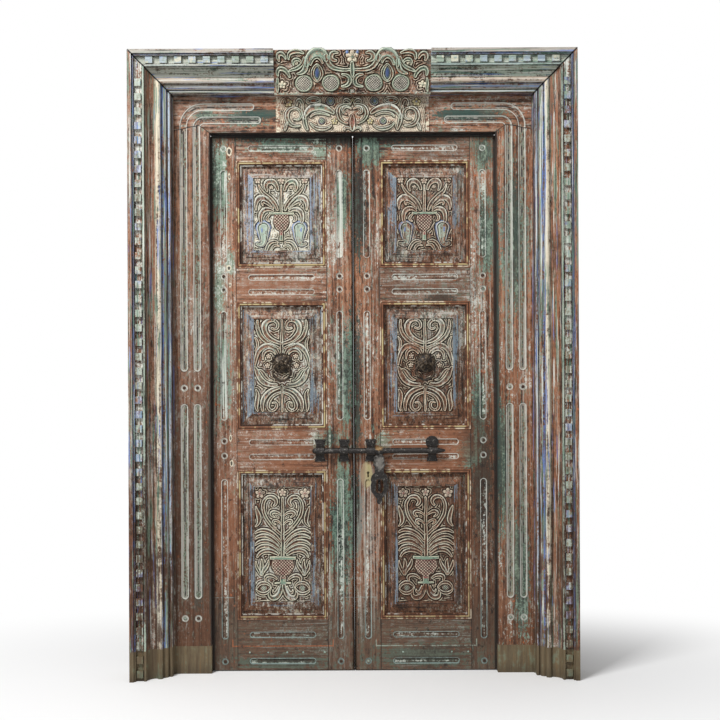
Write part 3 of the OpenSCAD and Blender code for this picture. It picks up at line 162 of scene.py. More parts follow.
class Shade:
    """A material under construction, on Object coordinates in metres."""

    def __init__(self, name: str) -> None:
        """Makes an empty material.

        Args:
            name: The material's name.
        """
        self.material = bpy.data.materials.new(name)
        self.material.use_nodes = True
        self.tree = self.material.node_tree
        self.tree.nodes.clear()
        self.place = self.node("ShaderNodeTexCoord").outputs["Object"]
        parts = self.node("ShaderNodeSeparateXYZ")
        self.tree.links.new(parts.inputs[0], self.place)
        self.x, self.y, self.z = [Num(self, out) for out in parts.outputs]
        self.ax = abs(self.x)
        self.coat: bpy.types.NodeSocket | None = None

    def node(self, kind: str, **settings: object) -> bpy.types.Node:
        """Adds a node and sets its properties."""
        made = self.tree.nodes.new(kind)
        for key, value in settings.items():
            setattr(made, key, value)
        return made

    def feed(self, socket: bpy.types.NodeSocket, value: object) -> None:
        """Links or sets one input socket."""
        if isinstance(value, Num):
            self.tree.links.new(socket, value.socket)
        elif isinstance(value, bpy.types.NodeSocket):
            self.tree.links.new(socket, value)
        elif isinstance(value, Paint):
            socket.default_value = value.linear
        else:
            socket.default_value = value

    def math(self, kind: str, *values: "Num | float") -> Num:
        """One arithmetic node on the given values."""
        made = self.node("ShaderNodeMath", operation=kind)
        for socket, value in zip(made.inputs, values):
            self.feed(socket, value)
        return Num(self, made.outputs[0])

    def length(self, *parts: Num) -> Num:
        """Root of the sum of squares."""
        total = parts[0] * parts[0]
        for part in parts[1:]:
            total = total + part * part
        return self.math("SQRT", total)

    def noise(self, scale: tuple[float, float, float], detail: float = 3.0, rough: float = 0.55,
              seed: float = 0.0, twist: float = 0.0) -> Num:
        """Soft random number with features of 1 / scale metres along each axis.

        Args:
            scale: Features per metre along X, Y and Z.
            detail: Octaves.
            rough: Weight of the finer octaves.
            seed: Moves the pattern.
            twist: Distortion.

        Returns:
            A number about 0.5.
        """
        spot = self.node("ShaderNodeVectorMath", operation="MULTIPLY_ADD")
        self.tree.links.new(spot.inputs[0], self.place)
        spot.inputs[1].default_value = scale
        spot.inputs[2].default_value = (seed * 7.31, seed * 3.17, seed * 5.53)
        made = self.node("ShaderNodeTexNoise")
        self.tree.links.new(made.inputs["Vector"], spot.outputs[0])
        made.inputs["Scale"].default_value = 1.0
        made.inputs["Detail"].default_value = detail
        made.inputs["Roughness"].default_value = rough
        made.inputs["Distortion"].default_value = twist
        return Num(self, made.outputs[0])

    def grain(self, axis: Axis, across: float, along: float, **more: float) -> Num:
        """Noise drawn out along the grain."""
        scale = [across, across, across]
        scale[axis.value] = along
        return self.noise(tuple(scale), **more)

    def mix(self, share: "Num | float", low: object, high: object) -> bpy.types.NodeSocket:
        """Colour that goes from low to high as share goes from 0 to 1."""
        made = self.node("ShaderNodeMix", data_type="RGBA")
        self.feed(made.inputs[0], share)
        self.feed(made.inputs[6], low)
        self.feed(made.inputs[7], high)
        return made.outputs[2]

    def lay(self, share: "Num | float", paint: object) -> None:
        """Lays paint over the coat, as thick as share says."""
        self.coat = self.mix(share, self.coat, paint)

    def ramp(self, value: Num, *stops: tuple[float, Paint]) -> bpy.types.NodeSocket:
        """Colour ramp through the given stops."""
        made = self.node("ShaderNodeValToRGB")
        self.feed(made.inputs[0], value)
        marks = made.color_ramp.elements
        while len(marks) < len(stops):
            marks.new(0.5)
        for mark, (spot, paint) in zip(marks, stops):
            mark.position = spot
            mark.color = paint.linear
        return made.outputs[0]

    def number(self, name: str) -> Num:
        """A number stored on the mesh."""
        return Num(self, self.node("ShaderNodeAttribute", attribute_name=name).outputs["Fac"])

    def colour(self, name: str) -> bpy.types.NodeSocket:
        """A colour stored on the mesh."""
        return self.node("ShaderNodeAttribute", attribute_name=name).outputs["Color"]

    def spots(self, ellipses: list[tuple[float, float, float, float]]) -> Num:
        """How deep the point lies in any of some soft upright ellipses: x, z and their reaches."""
        deepest = None
        for cx, cz, rx, rz in ellipses:
            depth = 1.0 - self.length((self.x - cx) * (1 / rx), (self.z - cz) * (1 / rz))
            deepest = depth if deepest is None else deepest.most(depth)
        return deepest

    def finish(self, rough: "Num | float", bump: Num, depth: float, metal: float = 0.0,
               specular: "Num | float" = 0.35) -> bpy.types.Material:
        """Closes the tree with the surface shader, in the coat's colour.

        Args:
            rough: Roughness.
            bump: Height, about 0 to 1.
            depth: Height of the bump in metres.
            metal: Metalness.
            specular: Specular level.

        Returns:
            The material.
        """
        surface = self.node("ShaderNodeBsdfPrincipled")
        self.feed(surface.inputs["Base Color"], self.coat)
        self.feed(surface.inputs["Roughness"], rough)
        surface.inputs["Metallic"].default_value = metal
        self.feed(surface.inputs["Specular IOR Level"], specular)
        relief = self.node("ShaderNodeBump")
        relief.inputs["Strength"].default_value = 1.0
        relief.inputs["Distance"].default_value = depth
        self.feed(relief.inputs["Height"], bump)
        self.tree.links.new(surface.inputs["Normal"], relief.outputs[0])
        out = self.node("ShaderNodeOutputMaterial")
        self.tree.links.new(out.inputs["Surface"], surface.outputs[0])
        return self.material


@dataclass(frozen=True)
class DoorPlan:
    """Lines of the door that paint and carving follow, in metres, read from the CAD pieces."""

    half_w: float
    top: float
    inner_x: float
    lip_x: float
    head_z0: float
    head_z1: float
    y_jamb: float
    y_leaf: float
    stile_x0: float
    stile_x1: float
    openings: tuple[tuple[float, float], ...]
    leaf_z: tuple[float, float]
    meet_gap: float = 0.006
    flute_off: tuple[float, float] = (0.033, 0.078)
    flute_turn: tuple[float, float] = (0.065, 0.025)
    flute_end: tuple[float, float] = (0.347, 0.324)
    flute_upper_z: float = 1.031
    flute_low: tuple[float, float] = (0.256, 0.916)
    jamb_bosses: tuple[float, float] = (0.188, 0.973)
    flute_r: float = 0.0105
    stile_flute_r: float = 0.0095
    stile_flute_in: float = 0.034
    stile_flute_low: float = 0.107
    bottom_flutes: tuple[float, float] = (0.030, 0.053)
    rail_flute_r: float = 0.0085
    rail_flute_half: float = 0.112
    rail_flute_gap: float = 0.050
    boss_r: float = 0.009

    @classmethod
    def from_frame(cls) -> "DoorPlan":
        """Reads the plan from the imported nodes."""
        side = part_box("architrave_left")
        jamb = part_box("jamb_right")
        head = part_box("head_rail")
        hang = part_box("right_hanging_stile")
        rows = [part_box(f"right_{row}_beads") for row in ("lower", "middle", "upper")]
        return cls(-side[0].x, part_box("architrave_head")[1].z, -side[1].x, jamb[0].x, head[0].z, head[1].z,
                   jamb[0].y, hang[0].y, rows[0][0].x, hang[0].x, tuple((b[0].z, b[1].z) for b in rows),
                   (hang[0].z, hang[1].z))

    @property
    def panel_x(self) -> float:
        """Middle of a leaf's openings."""
        return (self.stile_x0 + self.stile_x1) / 2

    @property
    def meet_x(self) -> float:
        """Middle of a meeting stile's face."""
        return (self.meet_gap / 2 + self.stile_x0) / 2

    @property
    def hang_x(self) -> float:
        """Middle of a hanging stile's face in sight."""
        return (self.stile_x1 + self.lip_x) / 2

    @property
    def rail_top(self) -> float:
        """Upper edge of a leaf's top rail."""
        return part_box("right_top_rail")[1].z

    @property
    def rail_flutes(self) -> list[float]:
        """Heights of the flutes on a leaf's rails."""
        (l0, l1), (m0, m1), (u0, u1) = self.openings
        bottom, top = self.leaf_z
        pairs = [z + s * self.rail_flute_gap / 2 for z in ((l1 + m0) / 2, (m1 + u0) / 2) for s in (-1, 1)]
        return [bottom + self.bottom_flutes[0], l0 - self.bottom_flutes[1], *pairs, (u1 + top) / 2]

    @property
    def stile_flutes(self) -> list[tuple[float, float]]:
        """Lower and upper ends of the flutes on a leaf's stiles."""
        ends = [(low + self.stile_flute_in, high - self.stile_flute_in) for low, high in self.openings]
        return [(self.leaf_z[0] + self.stile_flute_low, ends[0][1]), *ends[1:]]

    @property
    def stile_bosses(self) -> list[float]:
        """Heights of the ring bosses on the stiles."""
        bottom, top = self.leaf_z
        (l0, _), (_, m1), (u0, u1) = self.openings
        return [bottom + (l0 - bottom) / 6, m1 + (u0 - m1) * 0.36, u0 - (u0 - m1) / 4, (u1 + top) / 2]

    @property
    def lock_bosses(self) -> list[float]:
        """Heights of the ring bosses that only the hanging stiles have."""
        low, high = self.openings[0][1], self.openings[1][0]
        return [low + (high - low) * 0.35, high - (high - low) * 0.28]


PLAN = DoorPlan.from_frame()


@dataclass(frozen=True)
class AgedWood:
    """Old red-brown hardwood with what is left of its paint.

    Attributes:
        name: The material's name.
        axis: Direction of the grain.
    """

    name: str
    axis: Axis

    def ground(self, shade: Shade) -> tuple[Num, Num, Num]:
        """Starts the coat with the bare wood.

        Args:
            shade: The material under construction.

        Returns:
            The fine grain, the streaks that paint wears along, and blotches.
        """
        fine = shade.grain(self.axis, 620.0, 12.0, detail=4.0, rough=0.7)
        streak = shade.grain(self.axis, 130.0, 3.2, detail=4.0, rough=0.66, seed=2.0)
        blotch = shade.noise((34.0, 34.0, 26.0), detail=6.0, rough=0.72, seed=3.0)
        broad = shade.noise((5.0, 5.0, 3.2), detail=3.0, seed=4.0)
        tone = fine * 0.3 + streak * 0.8 + broad * 0.35 + blotch * 0.3
        shade.coat = shade.ramp(tone, (0.73, Paint.WOOD_DEEP), (0.855, Paint.WOOD_MID),
                                (1.0, Paint.WOOD_PALE))
        crack = shade.grain(self.axis, 230.0, 3.4, detail=3.0, seed=21.0).rise(0.6, 0.635)
        shade.lay(crack * 0.85, Paint.WOOD_BLACK)
        # Darker towards the bottom and a little towards the left: painted shade together with real staining.
        low = (shade.z + shade.x * 0.3).rise(1.5, 0.1)
        shade.lay(low * 0.45, Paint.WOOD_DEEP)
        return fine, streak, blotch

    def age(self, shade: Shade, streak: Num, blotch: Num) -> Num:
        """Lays chalky film, stray paint and filler over the wood.

        Args:
            shade: The material under construction.
            streak: Noise along the grain.
            blotch: Noise in patches.

        Returns:
            The noise that wears paint, about 0.55.
        """
        chips = shade.noise((150.0, 150.0, 130.0), detail=4.0, rough=0.72, seed=5.0)
        zone = shade.noise((5.0, 5.0, 2.6), detail=2.0, seed=14.0)
        wear = streak * 0.42 + blotch * 0.34 + chips * 0.34
        film = (wear + zone * 0.45 + shade.z * 0.04 - shade.x * 0.05).rise(0.78, 0.93)
        shade.lay(film * 0.34, Paint.ASH)
        soot = (streak * 0.55 + blotch * 0.5 + zone * 0.3).rise(0.58, 0.545)
        shade.lay(soot * 0.75, Paint.WOOD_BLACK)
        stray = (chips * 0.5 + blotch * 0.45 + streak * 0.35 + zone * 0.4).rise(0.925, 0.955)
        tint = shade.mix(streak.rise(0.46, 0.56), Paint.SAGE, Paint.CHALK)
        shade.lay(stray * 0.85, tint)
        fleck = shade.grain(self.axis, 170.0, 46.0, detail=3.0, rough=0.68, seed=25.0)
        shade.lay((fleck + zone * 0.12).rise(0.475, 0.43) * 0.62, Paint.WOOD_BLACK)
        cool = shade.mix(blotch.rise(0.44, 0.56), Paint.SAGE, Paint.ASH)
        shade.lay((fleck + zone * 0.16 + shade.z * 0.006).rise(0.655, 0.7) * 0.62, cool)
        scratch = shade.grain(self.axis, 240.0, 4.0, detail=3.0, seed=22.0).rise(0.63, 0.67)
        shade.lay(scratch * zone.rise(0.4, 0.6) * 0.6, Paint.CHALK)
        dots = shade.noise((64.0, 64.0, 64.0), detail=1.0, seed=9.0).rise(0.725, 0.74)
        shade.lay(dots * 0.8, Paint.FILLER)
        return wear

    @staticmethod
    def nearest(place: Num, marks: Iterable[float]) -> Num:
        """Distance from the nearest of some marks along one axis."""
        first, *others = [abs(place - mark) for mark in marks]
        return first.least(*others)


def fleck_of(shade: Shade) -> Num:
    """Torn edges of small marks."""
    return shade.noise((60.0, 60.0, 34.0), detail=5.0, rough=0.8, seed=26.0)


def worn_line(distance: Num, half: float, blotch: Num) -> Num:
    """Share of paint left on a line at distance 0, half wide to each side.

    Args:
        distance: Signed distance from the line.
        half: Half width of the line.
        blotch: Noise that wears it.

    Returns:
        Paint share from 0 to 1.
    """
    return abs(distance).rise(half * 1.4, half * 0.5) * blotch.rise(0.36, 0.54)


@dataclass(frozen=True)
class LeafWood(AgedWood):
    """Wood of a leaf's stiles and rails, with pale flute outlines and worn green paint.

    The lists hold the middles and reaches, along X and Z, of one kind of mark each.
    """

    DARK = [(0.02, 1.58, 0.06, 0.34), (0.005, 1.0, 0.05, 0.5), (0.0, 0.55, 0.05, 0.3),
            (0.44, 0.66, 0.07, 0.4), (0.3, 1.27, 0.1, 0.06), (-0.06, 0.52, 0.06, 0.2),
            (0.42, 0.78, 0.08, 0.07), (-0.3, 1.83, 0.2, 0.05)]
    GREEN = [(-0.46, 1.68, 0.06, 0.3), (-0.45, 1.03, 0.05, 0.3), (-0.035, 1.62, 0.05, 0.2),
             (-0.045, 0.47, 0.075, 0.42), (-0.03, 1.0, 0.06, 0.34), (0.06, 1.78, 0.1, 0.1),
             (0.45, 1.78, 0.07, 0.12), (0.43, 0.9, 0.05, 0.25), (0.4, 0.74, 0.07, 0.09),
             (-0.08, 0.8, 0.05, 0.07), (-0.246, 1.8, 0.2, 0.05), (-0.04, 0.62, 0.05, 0.16),
             (0.246, 0.05, 0.3, 0.08), (-0.246, 0.03, 0.3, 0.05), (0.455, 1.5, 0.05, 0.3)]
    PALE = [(-0.45, 1.75, 0.05, 0.2), (-0.11, 1.78, 0.06, 0.09), (-0.46, 1.3, 0.04, 0.2),
            (-0.12, 0.78, 0.06, 0.08), (0.1, 0.79, 0.07, 0.06), (-0.42, 1.4, 0.03, 0.1)]
    SHADOW = [(0.246, 1.325, 0.24, 0.12), (0.444, 0.5, 0.07, 0.36), (0.3, 1.79, 0.16, 0.07),
              (0.43, 0.8, 0.09, 0.1), (0.44, 0.3, 0.06, 0.3), (0.44, 0.56, 0.06, 0.2)]
    WARM = [(-0.28, 0.76, 0.22, 0.14), (-0.444, 0.5, 0.06, 0.3), (0.25, 0.76, 0.2, 0.12),
            (-0.27, 1.325, 0.2, 0.1)]
    DUST = [(0.05, 0.45, 0.05, 0.3), (0.06, 0.66, 0.06, 0.1)]
    SOOT = [(-0.035, 0.4, 0.04, 0.3), (-0.03, 1.05, 0.05, 0.3), (0.45, 0.45, 0.05, 0.4)]
    PUTTY = [(-0.424, 1.783, 0.011, 0.02), (-0.424, 1.696, 0.006, 0.015), (-0.426, 1.383, 0.011, 0.013),
             (-0.423, 1.325, 0.006, 0.01), (-0.423, 0.8, 0.005, 0.015), (-0.42, 0.714, 0.008, 0.016)]
    MILK = [(-0.444, 1.66, 0.06, 0.25), (-0.047, 0.6, 0.05, 0.22), (-0.047, 1.6, 0.05, 0.3),
            (-0.444, 1.05, 0.05, 0.25)]
    KEYHOLE = [(0.043, 0.672, 0.025, 0.055)]

    def build(self) -> bpy.types.Material:
        """Makes the material."""
        shade = Shade(self.name)
        fine, streak, blotch = self.ground(shade)
        wear = self.age(shade, streak, blotch)
        bare = shade.mix(0.35, shade.coat, Paint.WOOD_DEEP)
        self.old_paint(shade, wear, streak, blotch)
        self.stains(shade, wear, streak)
        self.repairs(shade, wear)
        self.flutes(shade, wear, streak)
        meet = self.edges(shade, wear)
        shade.lay(shade.y.rise(PLAN.y_leaf + 0.008, PLAN.y_leaf + 0.012), bare)
        bump = fine * 0.55 + streak * 0.3 + blotch * 0.3
        return shade.finish(0.5 + 0.35 * blotch, bump, 0.0022, specular=0.35 - 0.35 * meet)

    def old_paint(self, shade: Shade, wear: Num, streak: Num, blotch: Num) -> None:
        """Lays what is left of the dark, green and pale paint, and the damp foot."""
        dark = shade.spots([(0, PLAN.rail_top - 0.01, 0.55, 0.07), *self.DARK])
        deep = shade.mix(wear.rise(0.5, 0.62), Paint.WOOD_BLACK, Paint.BOTTLE)
        shade.lay((dark * 0.3 + wear).rise(0.69, 0.73) * 0.9, deep)
        fresh = shade.mix(wear.rise(0.5, 0.64), Paint.BOTTLE, Paint.SAGE)
        shade.lay((shade.spots(self.GREEN) * 0.26 + wear).rise(0.67, 0.7) * 0.88, fresh)
        thin = shade.mix(wear.rise(0.56, 0.66), Paint.SAGE, Paint.CHALK)
        shade.lay((shade.spots(self.PALE) * 0.22 + wear).rise(0.67, 0.7) * 0.85, thin)
        moss = shade.z.rise(0.3, 0.1) * (streak * 0.5 + blotch * 0.5).rise(0.5, 0.56)
        shade.lay(moss * 0.35, Paint.TEAL)
        shade.lay(shade.z.rise(0.32, 0.17) * (0.3 + 0.55 * wear), Paint.WOOD_GREY)

    def stains(self, shade: Shade, wear: Num, streak: Num) -> None:
        """Lays shaded and warm places, dust, grit and torn putty."""
        shade.lay(shade.spots(self.SHADOW).rise(0.0, 0.5) * 0.55, Paint.WOOD_DEEP)
        shade.lay(shade.spots(self.WARM).rise(0.0, 0.6) * 0.55, Paint.WOOD_MID)
        dust = shade.spots(self.DUST) * 0.25 + streak * 0.8 + wear * 0.5
        shade.lay(dust.rise(0.76, 0.84) * 0.4, Paint.ASH)
        grit = fleck_of(shade)
        shade.lay((grit - shade.spots(self.SOOT).most(0.0) * 0.1).rise(0.41, 0.37) * 0.75, Paint.WOOD_BLACK)
        putty = shade.spots(self.PUTTY)
        torn = putty + (grit - 0.5) * 1.5
        shade.lay(torn.rise(0.12, 0.3) * putty.rise(-0.5, 0.0) * 0.85, Paint.CREAM)
        shade.lay((torn - abs(putty - 0.62)).rise(0.42, 0.55) * 0.9, Paint.WOOD_BLACK)

    def repairs(self, shade: Shade, wear: Num) -> None:
        """Lays the fine lines of the spliced lower ends: pale on the splice, orange and pale below it."""
        splice = abs(shade.z - 0.25 - 0.004 * wear).rise(0.0018, 0.0006) * (
            shade.x.rise(-0.41, -0.42).most(shade.ax.rise(0.08, 0.07)))
        shade.lay(splice * wear.rise(0.5, 0.58) * 0.55, Paint.ICE)
        level = abs(shade.z - 0.0855) + (abs(shade.ax - PLAN.panel_x) - 0.17).most(0.0)
        upright = abs(abs(shade.ax - PLAN.panel_x) - 0.172) + (abs(shade.z - 0.0955) - 0.012).most(0.0)
        line = level.least(upright).rise(0.0026, 0.0008) * wear.rise(0.46, 0.56)
        shade.lay(line * 0.7, shade.mix(shade.x.rise(-0.01, 0.01), Paint.FILLER, Paint.MIST))

    def flutes(self, shade: Shade, wear: Num, streak: Num) -> None:
        """Lays milky paint in the flutes, and pale lines round them and the ring bosses."""
        plan = PLAN
        across = self.nearest(shade.ax, [plan.meet_x, plan.hang_x])
        ends = [(abs(shade.z - (low + high) / 2) - ((high - low) / 2 - plan.stile_flute_r)).most(0.0)
                for low, high in plan.stile_flutes]
        stile = shade.length(across, ends[0].least(*ends[1:])) - plan.stile_flute_r
        past = (abs(shade.ax - plan.panel_x) - (plan.rail_flute_half - plan.rail_flute_r)).most(0.0)
        rail = shade.length(self.nearest(shade.z, plan.rail_flutes), past) - plan.rail_flute_r
        flute = stile.least(rail)
        inside = flute.rise(0.0, -0.003)
        white = shade.mix(streak.rise(0.44, 0.54), Paint.SAGE, Paint.CHALK)
        milk = wear + shade.spots(self.MILK).most(0.0) * 0.14
        shade.lay(inside * milk.rise(0.57, 0.61) * 0.75, white)
        shade.lay(inside * wear.rise(0.54, 0.46) * 0.6, Paint.WOOD_BLACK)
        pale = shade.mix(shade.z.rise(0.36, 0.2), Paint.CHALK, Paint.ICE)
        shade.lay(worn_line(flute - 0.0005, 0.0016, wear * 0.88) * 0.8, pale)
        lock = shade.length(shade.ax - plan.hang_x, self.nearest(shade.z, plan.lock_bosses))
        ring = shade.length(across, self.nearest(shade.z, plan.stile_bosses)).least(lock) - plan.boss_r
        shade.lay(worn_line(ring, 0.0022, wear) * 0.8, pale)

    def edges(self, shade: Shade, wear: Num) -> Num:
        """Lays the yellow oval at the keyhole, the dark joints, painted shade in the gap where the leaves
        meet, and painted shadow along the hanging edge and under the head rail.

        Args:
            shade: The material under construction.
            wear: The noise that wears paint.

        Returns:
            1 where the leaves meet.
        """
        oval = shade.spots(self.KEYHOLE)
        pale = shade.mix(shade.x.rise(0.03, 0.05), Paint.TAN, Paint.YELLOW)
        shade.lay((oval * 0.5 + wear).rise(0.58, 0.68) * oval.rise(0.0, 0.25) * 0.75, pale)
        joint = self.nearest(shade.ax, [PLAN.stile_x0, PLAN.stile_x1])
        shade.lay(joint.rise(0.002, 0.0006) * 0.85, Paint.WOOD_BLACK)
        # Painted shade in the gap where the leaves meet.
        meet = shade.ax.rise(0.011, 0.003)
        shade.lay(meet * 0.75, Paint.WOOD_BLACK)
        # Painted shadow along the hanging edge and under the head rail, where the leaf sits back in the
        # frame.
        edge_shadow = (PLAN.lip_x - shade.ax).least(PLAN.rail_top - shade.z)
        shade.lay(edge_shadow.rise(0.011, 0.004) * 0.92, Paint.WOOD_BLACK)
        return meet


@dataclass(frozen=True)
class JambWood(AgedWood):
    """Wood of the jambs and head rail, with paint left in its flutes.

    The lists hold the middles and reaches, along X and Z, of one kind of mark each.
    """

    GREEN = [(0.55, 1.5, 0.08, 0.5), (0.5, 0.7, 0.05, 0.4), (-0.36, 1.89, 0.16, 0.05), (0.42, 1.9, 0.2, 0.05),
             (0.57, 0.35, 0.05, 0.4), (-0.5, 1.9, 0.06, 0.03)]
    DARK = [(-0.3, 1.905, 0.12, 0.03), (0.36, 1.9, 0.14, 0.03), (0.49, 1.2, 0.012, 0.9),
            (-0.49, 0.6, 0.012, 0.7), (-0.53, 0.4, 0.03, 0.3)]

    def build(self) -> bpy.types.Material:
        """Makes the material."""
        shade = Shade(self.name)
        plan = PLAN
        fine, streak, blotch = self.ground(shade)
        wear = self.age(shade, streak, blotch)
        bare = shade.mix(0.35, shade.coat, Paint.WOOD_DEEP)
        fresh = shade.mix(wear.rise(0.54, 0.66), Paint.BOTTLE, Paint.SAGE)
        shade.lay((shade.spots(self.GREEN) * 0.3 + wear).rise(0.68, 0.72) * 0.85, fresh)
        shade.lay((shade.spots(self.DARK) * 0.4 + wear).rise(0.69, 0.73) * 0.85, Paint.BOTTLE)
        gloom = shade.x.rise(-0.45, -0.5) * shade.z.rise(1.85, 1.8) * (0.28 + 0.34 * shade.z.rise(1.2, 0.6))
        shade.lay(gloom, Paint.WOOD_DEEP)
        on_jamb = shade.z.rise(plan.head_z0 + 0.02, plan.head_z0 - 0.02)
        self.flutes(shade, wear, streak, blotch, on_jamb)
        shade.lay(self.head_joint(shade).rise(0.0024, 0.0008) * 0.95, Paint.WOOD_BLACK)
        # Painted shadow on the jamb face along the opening's edge.
        shade.lay(shade.ax.rise(plan.lip_x + 0.006, plan.lip_x + 0.001) * on_jamb * 0.7, Paint.WOOD_BLACK)
        shade.lay(shade.y.rise(plan.y_jamb + 0.012, plan.y_jamb + 0.018), bare)
        # Painted shade on the jamb reveals and on the underside of the head rail.
        under = shade.z.rise(plan.head_z0 + 0.002, plan.head_z0 + 0.0005)
        under = under * shade.ax.rise(plan.lip_x + 0.01, plan.lip_x)
        reveal_shade = (shade.ax.rise(plan.lip_x + 0.002, plan.lip_x + 0.0005) * on_jamb).most(under)
        reveal_shade = reveal_shade * shade.y.rise(plan.y_jamb + 0.001, plan.y_jamb + 0.005)
        shade.lay(reveal_shade * 0.9, Paint.WOOD_BLACK)
        bump = fine * 0.55 + streak * 0.3 + blotch * 0.3
        return shade.finish(0.5 + 0.35 * blotch, bump, 0.0022)

    def flutes(self, shade: Shade, wear: Num, streak: Num, blotch: Num, on_jamb: Num) -> None:
        """Lays grey paint with a dark middle in the flutes, and pale lines round them and the bosses."""
        plan = PLAN
        across = self.nearest(shade.ax, [plan.inner_x - off for off in plan.flute_off])
        paths = []
        for off, turn, end in zip(plan.flute_off, plan.flute_turn, plan.flute_end):
            a = (shade.ax - (plan.inner_x - off - turn)).most(0.0)
            b = (shade.z - (plan.head_z1 - off - turn)).most(0.0)
            past_x = (end - shade.ax).most(0.0)
            past_z = ((plan.flute_upper_z + plan.flute_r) - shade.z).most(0.0)
            paths.append(shade.length(abs(shade.length(a, b) - turn), past_x, past_z))
        low, high = plan.flute_low
        past = (abs(shade.z - (low + high) / 2) - ((high - low) / 2 - plan.flute_r)).most(0.0)
        flute = paths[0].least(paths[1], shade.length(across, past)) - plan.flute_r
        fill = flute.rise(0.001, -0.001) * (wear + 0.05 * on_jamb).rise(0.545, 0.59)
        grey = shade.mix((streak * 0.6 + blotch * 0.4).rise(0.46, 0.54), Paint.SAGE, Paint.ASH)
        shade.lay(fill * 0.78, grey)
        core = flute.rise(-0.0062, -0.0086) * (streak * 0.5 + blotch * 0.6).rise(0.52, 0.58)
        shade.lay(core * 0.92, Paint.WOOD_BLACK)
        rim = abs(flute - 0.003).rise(0.0026, 0.0008)
        shade.lay(rim * wear.rise(0.62, 0.5) * 0.7, Paint.WOOD_BLACK)
        shade.lay(worn_line(flute, 0.002, wear) * 0.7, Paint.CHALK)
        ring = shade.length(across, self.nearest(shade.z, plan.jamb_bosses)) - plan.boss_r
        shade.lay(worn_line(ring, 0.0026, wear) * 0.85, Paint.CHALK)

    @staticmethod
    def head_joint(shade: Shade) -> Num:
        """Distance from the joint where a jamb meets the head rail."""
        plan, horn_w, horn_h, end_h = PLAN, 0.036, 0.026, 0.008
        past_horn = shade.ax - plan.lip_x - horn_w
        rise = (shade.ax - plan.lip_x) * (horn_h / horn_w)
        fall = horn_h - past_horn * ((horn_h - end_h) / (plan.inner_x - plan.lip_x - horn_w))
        return abs(shade.z - plan.head_z0 - rise.least(fall)) + (plan.lip_x - shade.ax).most(0.0)


